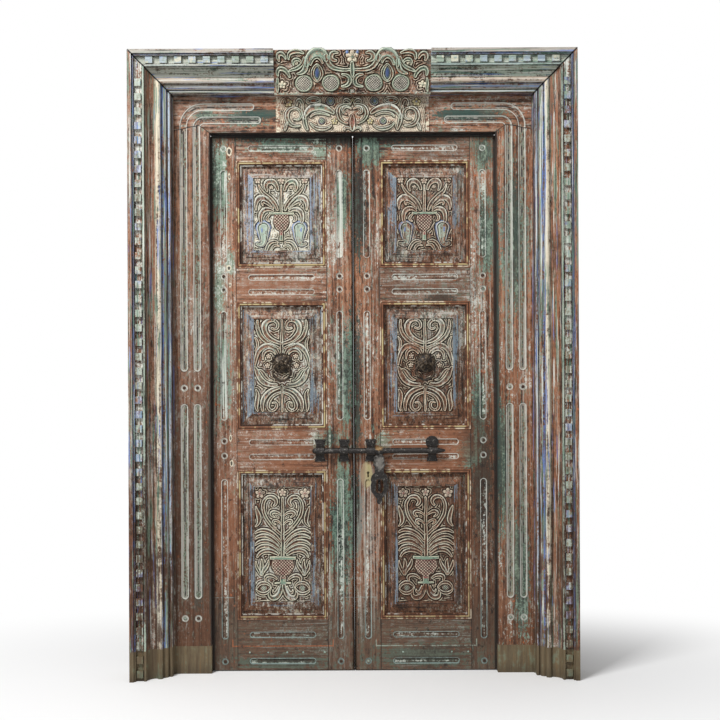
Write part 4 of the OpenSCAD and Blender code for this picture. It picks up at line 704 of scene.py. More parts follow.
@dataclass(frozen=True)
class ArchitraveWood(AgedWood):
    """Moulded architrave: stripes of worn paint by their distance from the outer edge."""

    def stripe_stops(self) -> list[tuple[float, Paint, float]]:
        """Stripes across the moulding: where each ends, its paint, and how much is left."""
        if self.axis is Axis.X:
            return [(0.013, Paint.ASH, 0.6), (0.020, Paint.DUSK, 0.5), (0.047, Paint.MIST, 0.7),
                    (0.054, Paint.ICE, 0.7), (0.084, Paint.MIST, 0.5), (0.103, Paint.BLUSH, 0.6),
                    (0.111, Paint.ASH, 0.4), (0.119, Paint.DUSK, 0.5), (0.124, Paint.ASH, 0.5),
                    (0.131, Paint.MIST, 0.75), (0.145, Paint.WOOD_MID, 0.2)]
        return [(0.013, Paint.WOOD_MID, 0.2), (0.020, Paint.NAVY, 0.6), (0.047, Paint.CHALK, 0.32),
                (0.054, Paint.MIST, 0.7), (0.084, Paint.WOOD_MID, 0.2), (0.103, Paint.CREAM, 0.58),
                (0.111, Paint.COBALT, 0.45), (0.119, Paint.SAGE, 0.5), (0.124, Paint.WOOD_DEEP, 0.3),
                (0.131, Paint.SKY, 0.5), (0.145, Paint.WOOD_MID, 0.2)]

    def build(self) -> bpy.types.Material:
        """Makes the material."""
        shade = Shade(self.name)
        plan = PLAN
        fine, streak, blotch = self.ground(shade)
        wear = self.age(shade, streak, blotch)
        bare = shade.mix(0.35, shade.coat, Paint.WOOD_DEEP)
        head = self.axis is Axis.X
        off = plan.top - shade.z if head else plan.half_w - shade.ax
        height = shade.z.rise(0.3, 1.2)
        start = 0.0
        for end, paint, left in self.stripe_stops():
            share = off.band(start, end, 0.0009)
            kept = (wear + (left - 0.5) * 0.22 + height * 0.05).rise(0.54, 0.59)
            dusty = shade.mix(wear.rise(0.6, 0.48) * 0.4, paint, Paint.ASH)
            shade.lay(share * kept * 0.9, dusty)
            start = end
        self.veins(shade, off, wear)
        dentil = self.dentils(shade, off)
        patch = shade.grain(self.axis, 9.0, 9.0, detail=1.0, seed=8.0)
        lively = shade.noise((46.0, 46.0, 46.0), detail=4.0, rough=0.7, seed=17.0)
        cool = shade.mix(0.75 if head else 0.25, Paint.COBALT, Paint.SKY)
        green = (0.46, 0.53) if head else (0.42, 0.48)
        block = shade.mix((patch * 0.6 + lively * 0.4).rise(*green), cool, Paint.SAGE)
        other = shade.grain(self.axis, 11.0, 11.0, detail=1.0, seed=12.0)
        white = Paint.CREAM if head else Paint.MIST
        block = shade.mix((other * 0.6 + lively * 0.45).rise(0.55, 0.6), block, white)
        shade.lay(dentil * blotch.rise(0.36, 0.5) * 0.95, block)
        cove = off.band(0.054, 0.086, 0.002)
        shade.lay(cove * wear.rise(0.54, 0.46) * 0.42, Paint.WOOD_BLACK)
        # Painted shade in the quirks between the moulding's members.
        for edge in (0.0145, 0.0205, 0.0475, 0.0545, 0.0865, 0.1055, 0.1225, 0.1335):
            line = abs(off - edge).rise(0.0018, 0.0005)
            shade.lay(line * wear.rise(0.66, 0.5) * 0.8, Paint.WOOD_BLACK)
        mitre = abs((plan.half_w - shade.ax) - (plan.top - shade.z))
        shade.lay(mitre.rise(0.0046, 0.0024) * 0.95, Paint.WOOD_BLACK)
        if not head:
            worn = shade.z.rise(0.75, 0.35) * (streak * 0.7 + blotch * 0.4).rise(0.6, 0.5)
            shade.lay(worn * 0.75, Paint.WOOD_DEEP)
        shade.lay(shade.y.rise(plan.y_jamb - 0.006, plan.y_jamb - 0.002), bare)
        bump = fine * 0.5 + streak * 0.35 + blotch * 0.35
        return shade.finish(0.5 + 0.35 * blotch, bump, 0.0024)

    def veins(self, shade: Shade, off: Num, wear: Num) -> None:
        """Lays long streaks of blue, green, white and soot along the moulding.

        Args:
            shade: The material under construction.
            off: Distance from the outer edge.
            wear: The noise that wears paint.
        """
        head = self.axis is Axis.X
        inner = off.band(0.098, 0.14, 0.002)
        cove = off.band(0.048, 0.086, 0.002)
        vein = shade.grain(self.axis, 210.0, 4.2, detail=4.0, rough=0.62, seed=31.0)
        blue = shade.grain(self.axis, 150.0, 4.6, detail=4.0, rough=0.6, seed=33.0)
        green = shade.grain(self.axis, 110.0, 5.0, detail=4.0, rough=0.6, seed=34.0)
        fresh = shade.mix(wear.rise(0.52, 0.6), Paint.TEAL, Paint.SAGE)
        amount = green + cove * (0.03 if head else 0.0)
        shade.lay(amount.rise(0.56, 0.6) * 0.8, fresh)
        soot = cove * (wear + vein * 0.4).rise(0.72, 0.68) * (0.4 if head else 0.36)
        shade.lay(soot, Paint.BOTTLE if head else Paint.WOOD_DEEP)
        if head:
            shade.lay((wear + green * 0.3).rise(0.66, 0.74) * shade.x.rise(0.2, -0.3) * 0.7, Paint.ASH)
        shade.lay((blue + inner * 0.055).rise(0.62, 0.65) * 0.8, Paint.COBALT)
        shade.lay((vein + inner * 0.03).rise(0.59, 0.62) * 0.8, Paint.CHALK)
        shade.lay(vein.rise(0.415, 0.385) * 0.7, Paint.WOOD_BLACK)

    @staticmethod
    def dentils(shade: Shade, off: Num) -> Num:
        """1 on the faces of the dentils."""
        proud, set_back, height = 0.112, 0.020, 0.011
        behind = shade.y - (PLAN.y_jamb - proud + set_back - height)
        return behind.rise(0.0015, -0.0015) * off.band(0.021, 0.046, 0.0012)


@dataclass(frozen=True)
class RepairWood(AgedWood):
    """Newer olive-brown wood of the spliced feet."""

    def build(self) -> bpy.types.Material:
        """Makes the material."""
        shade = Shade(self.name)
        fine = shade.grain(self.axis, 480.0, 12.0, detail=4.0, rough=0.65)
        streak = shade.grain(self.axis, 80.0, 5.0, detail=3.0, seed=2.0)
        blotch = shade.noise((34.0, 34.0, 26.0), detail=5.0, rough=0.68, seed=3.0)
        tone = fine * 0.45 + streak * 0.55 + blotch * 0.25
        shade.coat = shade.ramp(tone, (0.4, Paint.WOOD_DEEP), (0.62, Paint.WOOD_OLIVE),
                                (0.85, Paint.WOOD_NEW))
        shade.lay((blotch * 0.7 + streak * 0.5).rise(0.62, 0.76) * 0.5, Paint.SAGE)
        dentil = ArchitraveWood.dentils(shade, PLAN.half_w - shade.ax)
        shade.lay(dentil * blotch.rise(0.4, 0.52) * 0.6, Paint.SAGE)
        low = shade.z.rise(0.05, 0.0)
        shade.lay(low * 0.35, Paint.WOOD_BLACK)
        return shade.finish(0.5 + 0.3 * blotch, fine * 0.6 + streak * 0.4, 0.002)


@dataclass(frozen=True)
class BeadWood:
    """Bead strips round the panels, with yellow and cream lines."""

    name: str

    def build(self) -> bpy.types.Material:
        """Makes the material."""
        shade = Shade(self.name)
        plan = PLAN
        half = (plan.stile_x1 - plan.stile_x0) / 2 - abs(shade.ax - plan.panel_x)
        rows = [half.least((high - low) / 2 - abs(shade.z - (low + high) / 2)) for low, high in plan.openings]
        inset = rows[0].most(*rows[1:])
        blotch = shade.noise((60.0, 60.0, 36.0), detail=5.0, rough=0.68, seed=3.0)
        broad = shade.noise((7.0, 7.0, 7.0), detail=3.0, seed=5.0)
        shade.coat = shade.ramp(blotch * 0.7 + broad * 0.4, (0.35, Paint.WOOD_DEEP), (0.6, Paint.WOOD_MID),
                                (0.8, Paint.WOOD_PALE))
        wear = blotch * 0.6 + broad * 0.5
        shade.lay(inset.band(0.0066, 0.0112, 0.0008) * wear.rise(0.52, 0.58) * 0.85, Paint.YELLOW)
        shade.lay(inset.band(0.0, 0.0044, 0.001) * wear.rise(0.54, 0.62) * 0.75, Paint.CREAM)
        # Painted shadow where the panel sinks below the bead.
        shade.lay(inset.band(0.0136, 0.018, 0.0006) * wear.rise(0.6, 0.48) * 0.8, Paint.WOOD_BLACK)
        white = inset.band(0.0142, 0.019, 0.0006) * (wear + 0.05 * shade.x.rise(0.02, -0.02)).rise(0.57, 0.62)
        shade.lay(white * 0.85, Paint.CHALK)
        # Painted shade in the quirks of the bead.
        for edge in (0.0048, 0.0132):
            shade.lay(abs(inset - edge).rise(0.0014, 0.0004) * 0.8, Paint.WOOD_BLACK)
        # Darker towards the bottom: painted shade together with real staining.
        low = shade.z.rise(0.9, 0.2)
        shade.lay(low * 0.3, Paint.WOOD_DEEP)
        return shade.finish(0.5 + 0.35 * blotch, blotch, 0.0012)


@dataclass(frozen=True)
class CarvedPaint:
    """Worn paint over carving, by the colour, height and hollows stored on its mesh, with painted shade in
    the hollows and low parts and a painted highlight on the raised edges.

    Attributes:
        name: The material's name.
        bare: How much of the paint is gone, from 0 to 1.
        glint: Strength of the pale edges on the raised carving: worn paint with a painted highlight.
        dim: Strength of the painted shade on the low parts of the carving, from 0 to 1.
        axis: Direction of the grain.
    """

    name: str
    bare: float
    glint: float
    dim: float
    axis: Axis = Axis.Z

    def build(self) -> bpy.types.Material:
        """Makes the material."""
        shade = Shade(self.name)
        base = AgedWood(self.name, self.axis)
        fine, streak, blotch = base.ground(shade)
        wear = base.age(shade, streak, blotch)
        wood = shade.coat
        chips = shade.noise((160.0, 160.0, 160.0), detail=4.0, rough=0.7, seed=5.0)
        relief = shade.number("relief")
        hollow = shade.number("hollow")
        cover = shade.number("cover")
        patch = shade.noise((17.0, 17.0, 17.0), detail=2.0, seed=15.0)
        worn = chips * 0.4 + blotch * 0.3 + streak * 0.15 + patch * 0.35
        keep = (worn + (cover - 0.5 - 0.1 * self.bare) * 0.7).rise(0.575, 0.635)
        shade.lay(keep, shade.colour("paint"))
        # Painted shade on the low parts of the carving, stronger towards the bottom of the door.
        deep = relief.rise(1.0, 0.3) * (self.dim + 0.25 * shade.z.rise(1.3, 0.5))
        shade.lay(deep, Paint.WOOD_DEEP)
        flank, level = relief.rise(1.2, 1.5), relief.rise(2.3, 2.6)
        vein = shade.grain(Axis.Z, 150.0, 7.0, detail=4.0, rough=0.62, seed=41.0) * (1.0 - level)
        vein = vein + shade.grain(Axis.X, 150.0, 7.0, detail=4.0, rough=0.62, seed=42.0) * level
        plain = shade.mix(0.48 + 0.25 * shade.x - 0.16 * shade.z, wood, Paint.WOOD_DEEP)
        film = (wear + vein * 0.4 + shade.z * 0.06 - shade.x * 0.15).rise(0.86, 0.95)
        plain = shade.mix(film * 0.3, plain, Paint.ASH)
        plain = shade.mix((vein + chips * 0.3).rise(0.605, 0.55) * 0.75, plain, Paint.WOOD_BLACK)
        laid = (vein + chips * 0.35 + (cover - 0.5) * 0.6).rise(0.7, 0.75)
        plain = shade.mix(laid * 0.82, plain, shade.colour("paint"))
        shade.lay(flank, plain)
        fleck = fleck_of(shade)
        shade.lay(fleck.rise(0.445, 0.4) * 0.75, Paint.WOOD_BLACK)
        shade.lay(fleck.rise(0.59, 0.63) * (0.5 - 0.2 * shade.x.rise(-0.1, 0.1)), Paint.CREAM)
        # Pale edges on the raised carving: worn paint with a painted highlight.
        rim = (chips * 0.4 + patch * 0.3 - hollow).rise(0.44, 0.6) * relief.rise(0.3, 0.6) * (1.0 - flank)
        shade.lay(rim * self.glint, Paint.CREAM)
        # Painted shade in the carving's hollows.
        depth = 0.76 if self.axis is Axis.X else 0.94
        shade.lay(hollow.rise(0.03, 0.26) * depth, Paint.WOOD_BLACK)
        return shade.finish(0.5 + 0.35 * blotch, chips * 0.6 + fine * 0.3, 0.0012)


@dataclass(frozen=True)
class OldIron:
    """Forged iron, black-brown and a little rusted.

    Attributes:
        name: The material's name.
        dark: Colour of the sound surface.
        bright: Colour where it is worn or rusted.
        metal: Metalness.
    """

    name: str
    dark: Paint
    bright: Paint
    metal: float

    def build(self) -> bpy.types.Material:
        """Makes the material."""
        shade = Shade(self.name)
        hammer = shade.noise((110.0, 110.0, 110.0), detail=2.0, seed=1.0)
        grit = shade.noise((420.0, 420.0, 420.0), detail=3.0, rough=0.7, seed=2.0)
        tone = hammer * 0.6 + grit * 0.5
        shade.coat = shade.ramp(tone, (0.5, Paint.WOOD_BLACK), (0.68, self.dark), (0.92, self.bright))
        collar = shade.spots([(PLAN.stile_x0 - 0.0045, 0.768, 0.016, 0.012)])
        shade.lay((collar * 0.6 + hammer).rise(0.5, 0.7) * 0.8, Paint.BRASS)
        sheen = shade.spots([(PLAN.stile_x0 - 0.0045, 0.715, 0.03, 0.045)])
        shade.lay((sheen * 0.4 + hammer * 0.5).rise(0.34, 0.55) * 0.36, Paint.ASH)
        # Pale specks of worn metal together with painted highlights.
        worn = (grit * 0.55 + hammer * 0.5).rise(0.6, 0.68)
        shade.lay(worn * 0.7, Paint.ASH)
        return shade.finish(0.26 + 0.3 * grit, hammer * 0.7 + grit * 0.5, 0.0026, self.metal, 0.5)


@dataclass(frozen=True)
class PegWood:
    """End grain of the pegs and plugs.

    Attributes:
        name: The material's name.
        dark: Colour of the pores.
        bright: Colour of the wood.
    """

    name: str
    dark: Paint
    bright: Paint

    def build(self) -> bpy.types.Material:
        """Makes the material."""
        shade = Shade(self.name)
        spot = shade.noise((300.0, 300.0, 300.0), detail=3.0)
        pale = shade.noise((9.0, 9.0, 9.0), detail=1.0, seed=4.0).rise(0.52, 0.58)
        shade.coat = shade.ramp(spot, (0.35, self.dark), (0.65, self.bright))
        shade.lay(pale * 0.6, Paint.MIST)
        return shade.finish(0.7, spot, 0.001)


def lattice_noise(x: np.ndarray, y: np.ndarray, cell: float, seed: int) -> np.ndarray:
    """Smooth random numbers from -1 to 1 on a lattice.

    Args:
        x: Places along the first axis.
        y: Places along the second axis.
        cell: Size of a lattice cell, in the same unit.
        seed: Seed of the lattice.

    Returns:
        One number per place.
    """
    table = np.random.RandomState(seed).uniform(-1, 1, (64, 64))
    fx, fy = x / cell + 32, y / cell + 32
    ix, iy = np.floor(fx).astype(int), np.floor(fy).astype(int)
    tx, ty = fx - ix, fy - iy
    tx, ty = tx * tx * (3 - 2 * tx), ty * ty * (3 - 2 * ty)
    at = lambda i, j: table[(iy + j) % 64, (ix + i) % 64]
    return (at(0, 0) * (1 - tx) + at(1, 0) * tx) * (1 - ty) + (at(0, 1) * (1 - tx) + at(1, 1) * tx) * ty


Row = tuple


@dataclass
class Motifs:
    """One carving's design, in shares of its unit.

    Attributes:
        strokes: Four curve points and three half widths each.
        flowers: Place and reach.
        discs: Place, radius and height share.
        vase: Half outline of the vase from its rim down, or nothing.
        gems: Place, reaches and paint of painted drops.
    """

    strokes: list[Row]
    flowers: list[Row]
    discs: list[Row]
    vase: list[tuple[float, float]] = field(default_factory=list)
    gems: list[Row] = field(default_factory=list)


@dataclass
class Colours:
    """Paints of one carving and how much of each is left."""

    ground: Paint
    ground_left: float
    leaf: Paint
    edge: Paint
    flower: Paint
    disc: Paint
    disc_edge: Paint
    bowl: Paint = Paint.ROSE
    rim: Paint = Paint.SAGE
    leaf_left: float = 0.5


EVERY = (slice(None), slice(None))


def numbered(shape: tuple[int, int]) -> np.ndarray:
    """Point numbers of a grid, row by row."""
    return np.arange(shape[0] * shape[1]).reshape(shape)


def border_loop(number: np.ndarray) -> np.ndarray:
    """Point numbers round the border of a grid."""
    return np.concatenate([number[0, :-1], number[:-1, -1], number[-1, :0:-1], number[:0:-1, 0]])


class Carving:
    """Height, paint and wear of a carved field, on a grid in millimetres about its middle."""

    STEPS = 18
    REACH = 16.0

    def __init__(self, xs: np.ndarray, ys: np.ndarray, unit: float, height: float, colours: Colours,
                 seed: int) -> None:
        """Starts from a chiselled ground.

        Args:
            xs: Grid columns.
            ys: Grid rows.
            unit: Length of one share.
            height: Height of the relief.
            colours: Its paints.
            seed: Seed of the hand's wobble.
        """
        self.gx, self.gy = np.meshgrid(xs, ys)
        self.x = self.gx + 1.1 * lattice_noise(self.gx, self.gy, 24, seed)
        self.y = self.gy + 1.1 * lattice_noise(self.gx, self.gy, 24, seed + 1)
        self.unit, self.height, self.colours = unit, height, colours
        self.h = 0.35 * lattice_noise(self.gx, self.gy, 5, seed + 2)
        self.paint = np.zeros(self.gx.shape + (3,)) + colours.ground.linear[:3]
        self.cover = np.full(self.gx.shape, colours.ground_left)
        self.solid = np.zeros(self.gx.shape, bool)
        self.near = np.full(self.gx.shape, 60.0)
        self.seed = seed

    def lay(self, spot: tuple, h: np.ndarray, paint: np.ndarray, cover: np.ndarray, off: np.ndarray) -> None:
        """Raises the grid to h inside a window, paints it there, and notes the distance outside it."""
        self.near[spot] = np.minimum(self.near[spot], off)
        up = h > self.h[spot]
        self.h[spot] = np.where(up, h, self.h[spot])
        self.paint[spot] = np.where(up[..., None], paint, self.paint[spot])
        self.cover[spot] = np.where(up, cover, self.cover[spot])
        self.solid[spot] |= h > 0.2

    def window(self, cx: float, cy: float, rx: float, ry: float) -> tuple:
        """Slices of the grid that hold a box about a place, in millimetres."""
        cols = np.where(np.abs(self.gx[0] - cx) < rx + self.REACH)[0]
        rows = np.where(np.abs(self.gy[:, 0] - cy) < ry + self.REACH)[0]
        if not len(cols) or not len(rows):
            return (slice(0, 0), slice(0, 0))
        return (slice(rows[0], rows[-1] + 1), slice(cols[0], cols[-1] + 1))

    @staticmethod
    def blend(low: Paint, high: Paint, share: np.ndarray) -> np.ndarray:
        """Colours between two paints."""
        a, b = np.array(low.linear[:3]), np.array(high.linear[:3])
        return a + (b - a) * np.clip(share, 0, 1)[..., None]

    def stroke(self, row: Row, level: float) -> None:
        """Carves a channelled leaf or stem along a curve, and its mirror image, with a painted highlight on
        its side toward the light.
        """
        p = np.array(row[:4], float) * self.unit
        w0, wm, w1 = [w * self.unit * 1.22 for w in row[4]]
        t = np.linspace(0, 1, self.STEPS + 1)[:, None]
        path = (1 - t) ** 3 * p[0] + 3 * (1 - t) ** 2 * t * p[1] + 3 * (1 - t) * t * t * p[2] + t ** 3 * p[3]
        for side in ((1, -1) if p[0, 0] + p[3, 0] > 0 else (1,)):
            q = path * (side, 1)
            mid, reach = (q.max(0) + q.min(0)) / 2, (q.max(0) - q.min(0)) / 2 + max(w0, wm, w1)
            spot = self.window(*mid, *reach)
            x, y = self.x[spot], self.y[spot]
            if not x.size:
                continue
            best = np.full(x.shape, 1e9)
            when, light_side = np.zeros(x.shape), np.zeros(x.shape)
            for i in range(self.STEPS):
                a, d = q[i], q[i + 1] - q[i]
                s = np.clip(((x - a[0]) * d[0] + (y - a[1]) * d[1]) / max(d @ d, 1e-9), 0, 1)
                ox, oy = x - a[0] - s * d[0], y - a[1] - s * d[1]
                gap = np.hypot(ox, oy)
                near = gap < best
                light_side = np.where(near, oy + 0.6 * side * ox, light_side)
                best = np.where(near, gap, best)
                when = np.where(near, (i + s) / self.STEPS, when)
            u = when
            wide = (1 - u) ** 2 * w0 + 2 * (1 - u) * u * (2 * wm - (w0 + w1) / 2) + u * u * w1
            share = best / np.maximum(wide, 0.4)
            body = np.clip((1 - share) / 0.3, 0, 1)
            body = body * body * (3 - 2 * body)
            broad = np.clip((wide - 3.4) / 3, 0, 1)
            vein = np.exp(-(share / 0.42) ** 2) * broad
            h = self.height * level * body * (1 - 0.55 * vein)
            own = len(row) > 5
            if own:
                h = h * (1 - 0.6 * np.exp(-((share - 0.6) / 0.09) ** 2) * broad)
            lip = np.clip((share - (0.6 if own else 0.45)) / 0.2, 0, 1)
            leaf, edge = row[5] if own else (self.colours.leaf, self.colours.edge)
            # Painted highlight: the side of the stroke toward the light takes the pale edge colour and more
            # paint.
            glow = np.clip((light_side / np.maximum(wide, 0.4) - 0.15) / 0.3, 0, 1)
            lean = 0.0 if own else 0.04 + 0.12 * math.sin(7.3 * p[3, 0] + 5.1 * p[0, 1])
            tint = self.blend(leaf, edge, lip if own else np.maximum(glow, lip * 0.35) + lean)
            left = self.colours.leaf_left + 0.24 * np.maximum(glow, lip * 0.8) - 0.07
            left = 0.58 + 0.1 * lip if own else left
            self.lay(spot, np.where(share < 1, h, -9), tint, np.where(share < 1, left, 0), best - wide)

    def flower(self, row: Row) -> None:
        """Carves an open flower with round petals and a bud."""
        reach = row[2] * self.unit
        for side in ((1, -1) if row[0] > 0 else (1,)):
            cx, cy = side * row[0] * self.unit, row[1] * self.unit
            spot = self.window(cx, cy, reach, reach)
            x, y = self.x[spot] - cx, self.y[spot] - cy
            r, angle = np.hypot(x, y) / reach, np.arctan2(x, y)
            edge = 0.66 + 0.34 * np.abs(np.cos(2.5 * angle))
            body = np.clip((edge - r) / 0.22, 0, 1)
            seam = np.exp(-((np.abs(np.cos(2.5 * angle)) / 0.3) ** 2)) * np.clip(r * 2.5, 0, 1)
            bud = np.clip((0.3 - r) / 0.12, 0, 1)
            h = self.height * (0.72 * body * (1 - 0.4 * seam) * (0.75 + 0.25 * r) + 0.3 * bud * body)
            tint = self.blend(self.colours.flower, self.colours.disc_edge, bud)
            self.lay(spot, np.where(r < edge, h, -9), tint, np.where(r < edge, 0.6, 0), (r - edge) * reach)

    def disc(self, row: Row) -> None:
        """Carves a domed fruit with a raised rim and a netted skin."""
        reach = row[2] * self.unit
        for side in ((1, -1) if row[0] > 0 else (1,)):
            cx, cy = side * row[0] * self.unit, row[1] * self.unit
            spot = self.window(cx, cy, reach, reach)
            x, y = self.x[spot] - cx, self.y[spot] - cy
            r = np.hypot(x, y) / reach
            net = np.maximum(np.abs(np.sin((x + y) * 0.4)), np.abs(np.sin((x - y) * 0.4)))
            dome = np.sqrt(np.clip(1 - (r * 0.92) ** 2, 0, 1))
            rim = np.exp(-((r - 0.86) / 0.07) ** 2)
            cut = np.clip((net - 0.84) * 9, 0, 1) * (r < 0.76)
            h = self.height * row[3] * (dome * 0.85 + 0.22 * rim - 0.3 * cut)
            h = h * np.clip((1 - r) / 0.1, 0, 1)
            tint = self.blend(self.colours.disc, self.colours.disc_edge, np.clip((r - 0.7) / 0.1, 0, 1))
            self.lay(spot, np.where(r < 1, h, -9), tint, np.where(r < 1, 0.75, 0), (r - 1) * reach)

    def vase(self, outline: list[tuple[float, float]]) -> None:
        """Carves a vase with a netted bowl between its rim and foot."""
        half = np.array(outline) * self.unit * (1.12, 1)
        ring = np.vstack([half, half[::-1] * (-1, 1)])
        x, y = self.x, self.y
        inside = np.zeros(x.shape, bool)
        gap = np.full(x.shape, 1e9)
        for a, b in zip(ring, np.roll(ring, -1, 0)):
            d = b - a
            s = np.clip(((x - a[0]) * d[0] + (y - a[1]) * d[1]) / max(d @ d, 1e-9), 0, 1)
            gap = np.minimum(gap, np.hypot(x - a[0] - s * d[0], y - a[1] - s * d[1]))
            over = (a[1] > y) != (b[1] > y)
            with np.errstate(divide="ignore", invalid="ignore"):
                inside ^= over & (x < a[0] + d[0] * (y - a[1]) / (d[1] if d[1] else 1e-9))
        top, foot = half[:, 1].max(), half[:, 1].min()
        rim_y = half[1, 1]
        bowl = (y < rim_y - 1) & (y > rim_y - 0.62 * self.unit)
        net = np.maximum(np.abs(np.sin((x + y) * 0.3)), np.abs(np.sin((x - y) * 0.3)))
        body = np.clip(gap / 3.0, 0, 1)
        body = body * (2 - body)
        cut = np.clip((net - 0.86) * 9, 0, 1) * bowl * (gap > 2)
        h = self.height * (0.9 * body + 0.12 * (y > rim_y)) - 2.6 * cut
        tint = self.blend(self.colours.bowl, self.colours.rim, (y > rim_y) | (y < foot + 0.2 * (top - foot)))
        pale = self.blend(self.colours.bowl, self.colours.flower, np.array(0.3))
        tint = np.where((bowl & (net < 0.66) & (gap > 2))[..., None], pale, tint)
        self.lay(EVERY, np.where(inside, h, -9), tint, np.where(inside, 0.85, 0), gap)

    def carve(self, motifs: Motifs) -> None:
        """Carves a whole design."""
        for i, row in enumerate(motifs.strokes):
            self.stroke(row, 1 - 0.035 * (1 + i % 4))
        for row in motifs.flowers:
            self.flower(row)
        for row in motifs.discs:
            self.disc(row)
        if motifs.vase:
            self.vase(motifs.vase)
        for row in motifs.gems:
            self.gem(row)

    def gem(self, row: Row) -> None:
        """Carves a painted drop inside a leaf: place, reaches and paint."""
        for side in ((1, -1) if row[0] > 0 else (1,)):
            r = np.hypot((self.x - side * row[0] * self.unit) / (row[2] * self.unit),
                         (self.y - row[1] * self.unit) / (row[3] * self.unit))
            tint = self.blend(row[4], self.colours.edge, np.clip((r - 0.6) / 0.3, 0, 1))
            h = self.height * 0.7 * np.sqrt(np.clip(1 - r * r, 0, 1))
            self.lay(EVERY, np.where(r < 1, h, -9), tint, np.where(r < 1, 0.9, 0), np.full(r.shape, 60.0))

    def echo(self, border: np.ndarray, pitch: float, share: float, tip: Paint) -> None:
        """Fills the ground with small ridges that run along the leaves and the border.

        Args:
            border: Distance from the field's border.
            pitch: Distance between the ridges.
            share: Their height, in shares of the relief.
            tip: Paint of their tops.
        """
        wobble = 1.7 * lattice_noise(self.gx, self.gy, 9, self.seed + 7)
        off = np.minimum(self.near, border + pitch * 0.3) + wobble
        wave = 0.5 - 0.5 * np.cos(2 * math.pi * np.clip(off - pitch * 0.16, 0, None) / pitch)
        part = np.clip(0.7 + 0.9 * lattice_noise(self.gx, self.gy, 15, self.seed + 5), 0.15, 1)
        h = np.where(~self.solid & (off > pitch * 0.16), self.height * share * part * wave ** 1.6, -9)
        tint = self.blend(self.colours.ground, tip, wave * 1.6 - 0.5)
        self.lay(EVERY, h, tint, self.colours.ground_left + 0.2 * np.clip(wave * 1.6 - 0.5, 0, 1), self.near)

    def hollows(self) -> np.ndarray:
        """How far each place lies below its surroundings, in shares of the relief."""
        soft = self.h.copy()
        for _ in range(5):
            wide = np.pad(soft, 1, mode="edge")
            soft = (wide[:-2, 1:-1] + wide[2:, 1:-1] + wide[1:-1, :-2] + wide[1:-1, 2:] + 2 * soft) / 6
        return (soft - self.h) / self.height * 2.2


class MeshParts:
    """Points, faces and point values gathered for one mesh."""

    def __init__(self) -> None:
        """Starts empty."""
        self.points: list[np.ndarray] = []
        self.faces: list[list[int]] = []
        self.values: dict[str, list[np.ndarray]] = {"relief": [], "hollow": [], "cover": []}
        self.paints: list[np.ndarray] = []
        self.count = 0

    def add(self, points: np.ndarray, relief: object = 0.0, hollow: object = 0.0, cover: object = 0.0,
            paint: object = (0.2, 0.13, 0.09)) -> int:
        """Adds points with their values.

        Args:
            points: n by 3 places in metres.
            relief: Height share per point.
            hollow: Hollow share per point.
            cover: Share of paint left per point.
            paint: Linear colour per point.

        Returns:
            Number of the first point added.
        """
        n = len(points)
        self.points.append(points)
        for key, value in (("relief", relief), ("hollow", hollow), ("cover", cover)):
            self.values[key].append(np.broadcast_to(np.asarray(value, float), (n,)))
        self.paints.append(np.broadcast_to(np.asarray(paint, float), (n, 3)))
        self.count += n
        return self.count - n

    def strip(self, a: np.ndarray, b: np.ndarray) -> None:
        """Joins two closed rings of point numbers with quads."""
        for i in range(len(a)):
            j = (i + 1) % len(a)
            self.faces.append([a[i], a[j], b[j], b[i]])

    def build(self, name: str, material: bpy.types.Material) -> bpy.types.Object:
        """Makes the object, smooth between its sharp edges."""
        mesh = bpy.data.meshes.new(name)
        mesh.from_pydata(np.vstack(self.points).tolist(), [], self.faces)
        for key, parts in self.values.items():
            mesh.attributes.new(key, "FLOAT", "POINT").data.foreach_set(
                "value", np.concatenate(parts).astype(np.float32))
        paint = np.vstack(self.paints)
        rgba = np.hstack([paint, np.ones((len(paint), 1))]).astype(np.float32)
        mesh.attributes.new("paint", "FLOAT_COLOR", "POINT").data.foreach_set("color", rgba.ravel())
        mesh.polygons.foreach_set("use_smooth", np.ones(len(mesh.polygons), bool))
        mesh.set_sharp_from_angle(angle=math.radians(50))
        mesh.materials.append(material)
        mesh.update()
        return place(name, mesh)


def place(name: str, mesh: bpy.types.Mesh) -> bpy.types.Object:
    """Links a mesh into the scene at the origin."""
    made = bpy.data.objects.new(name, mesh)
    bpy.context.scene.collection.objects.link(made)
    return made


def settle(piece: bpy.types.Object, body: str, slot: str, *nodes: str) -> None:
    """Seats a finished piece on its body and hides the CAD nodes that it stands for."""
    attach(piece, body)
    if nodes:
        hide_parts(*nodes)
    LOG.info("%s rides on %s, %d faces", piece.name, body, len(piece.data.polygons))


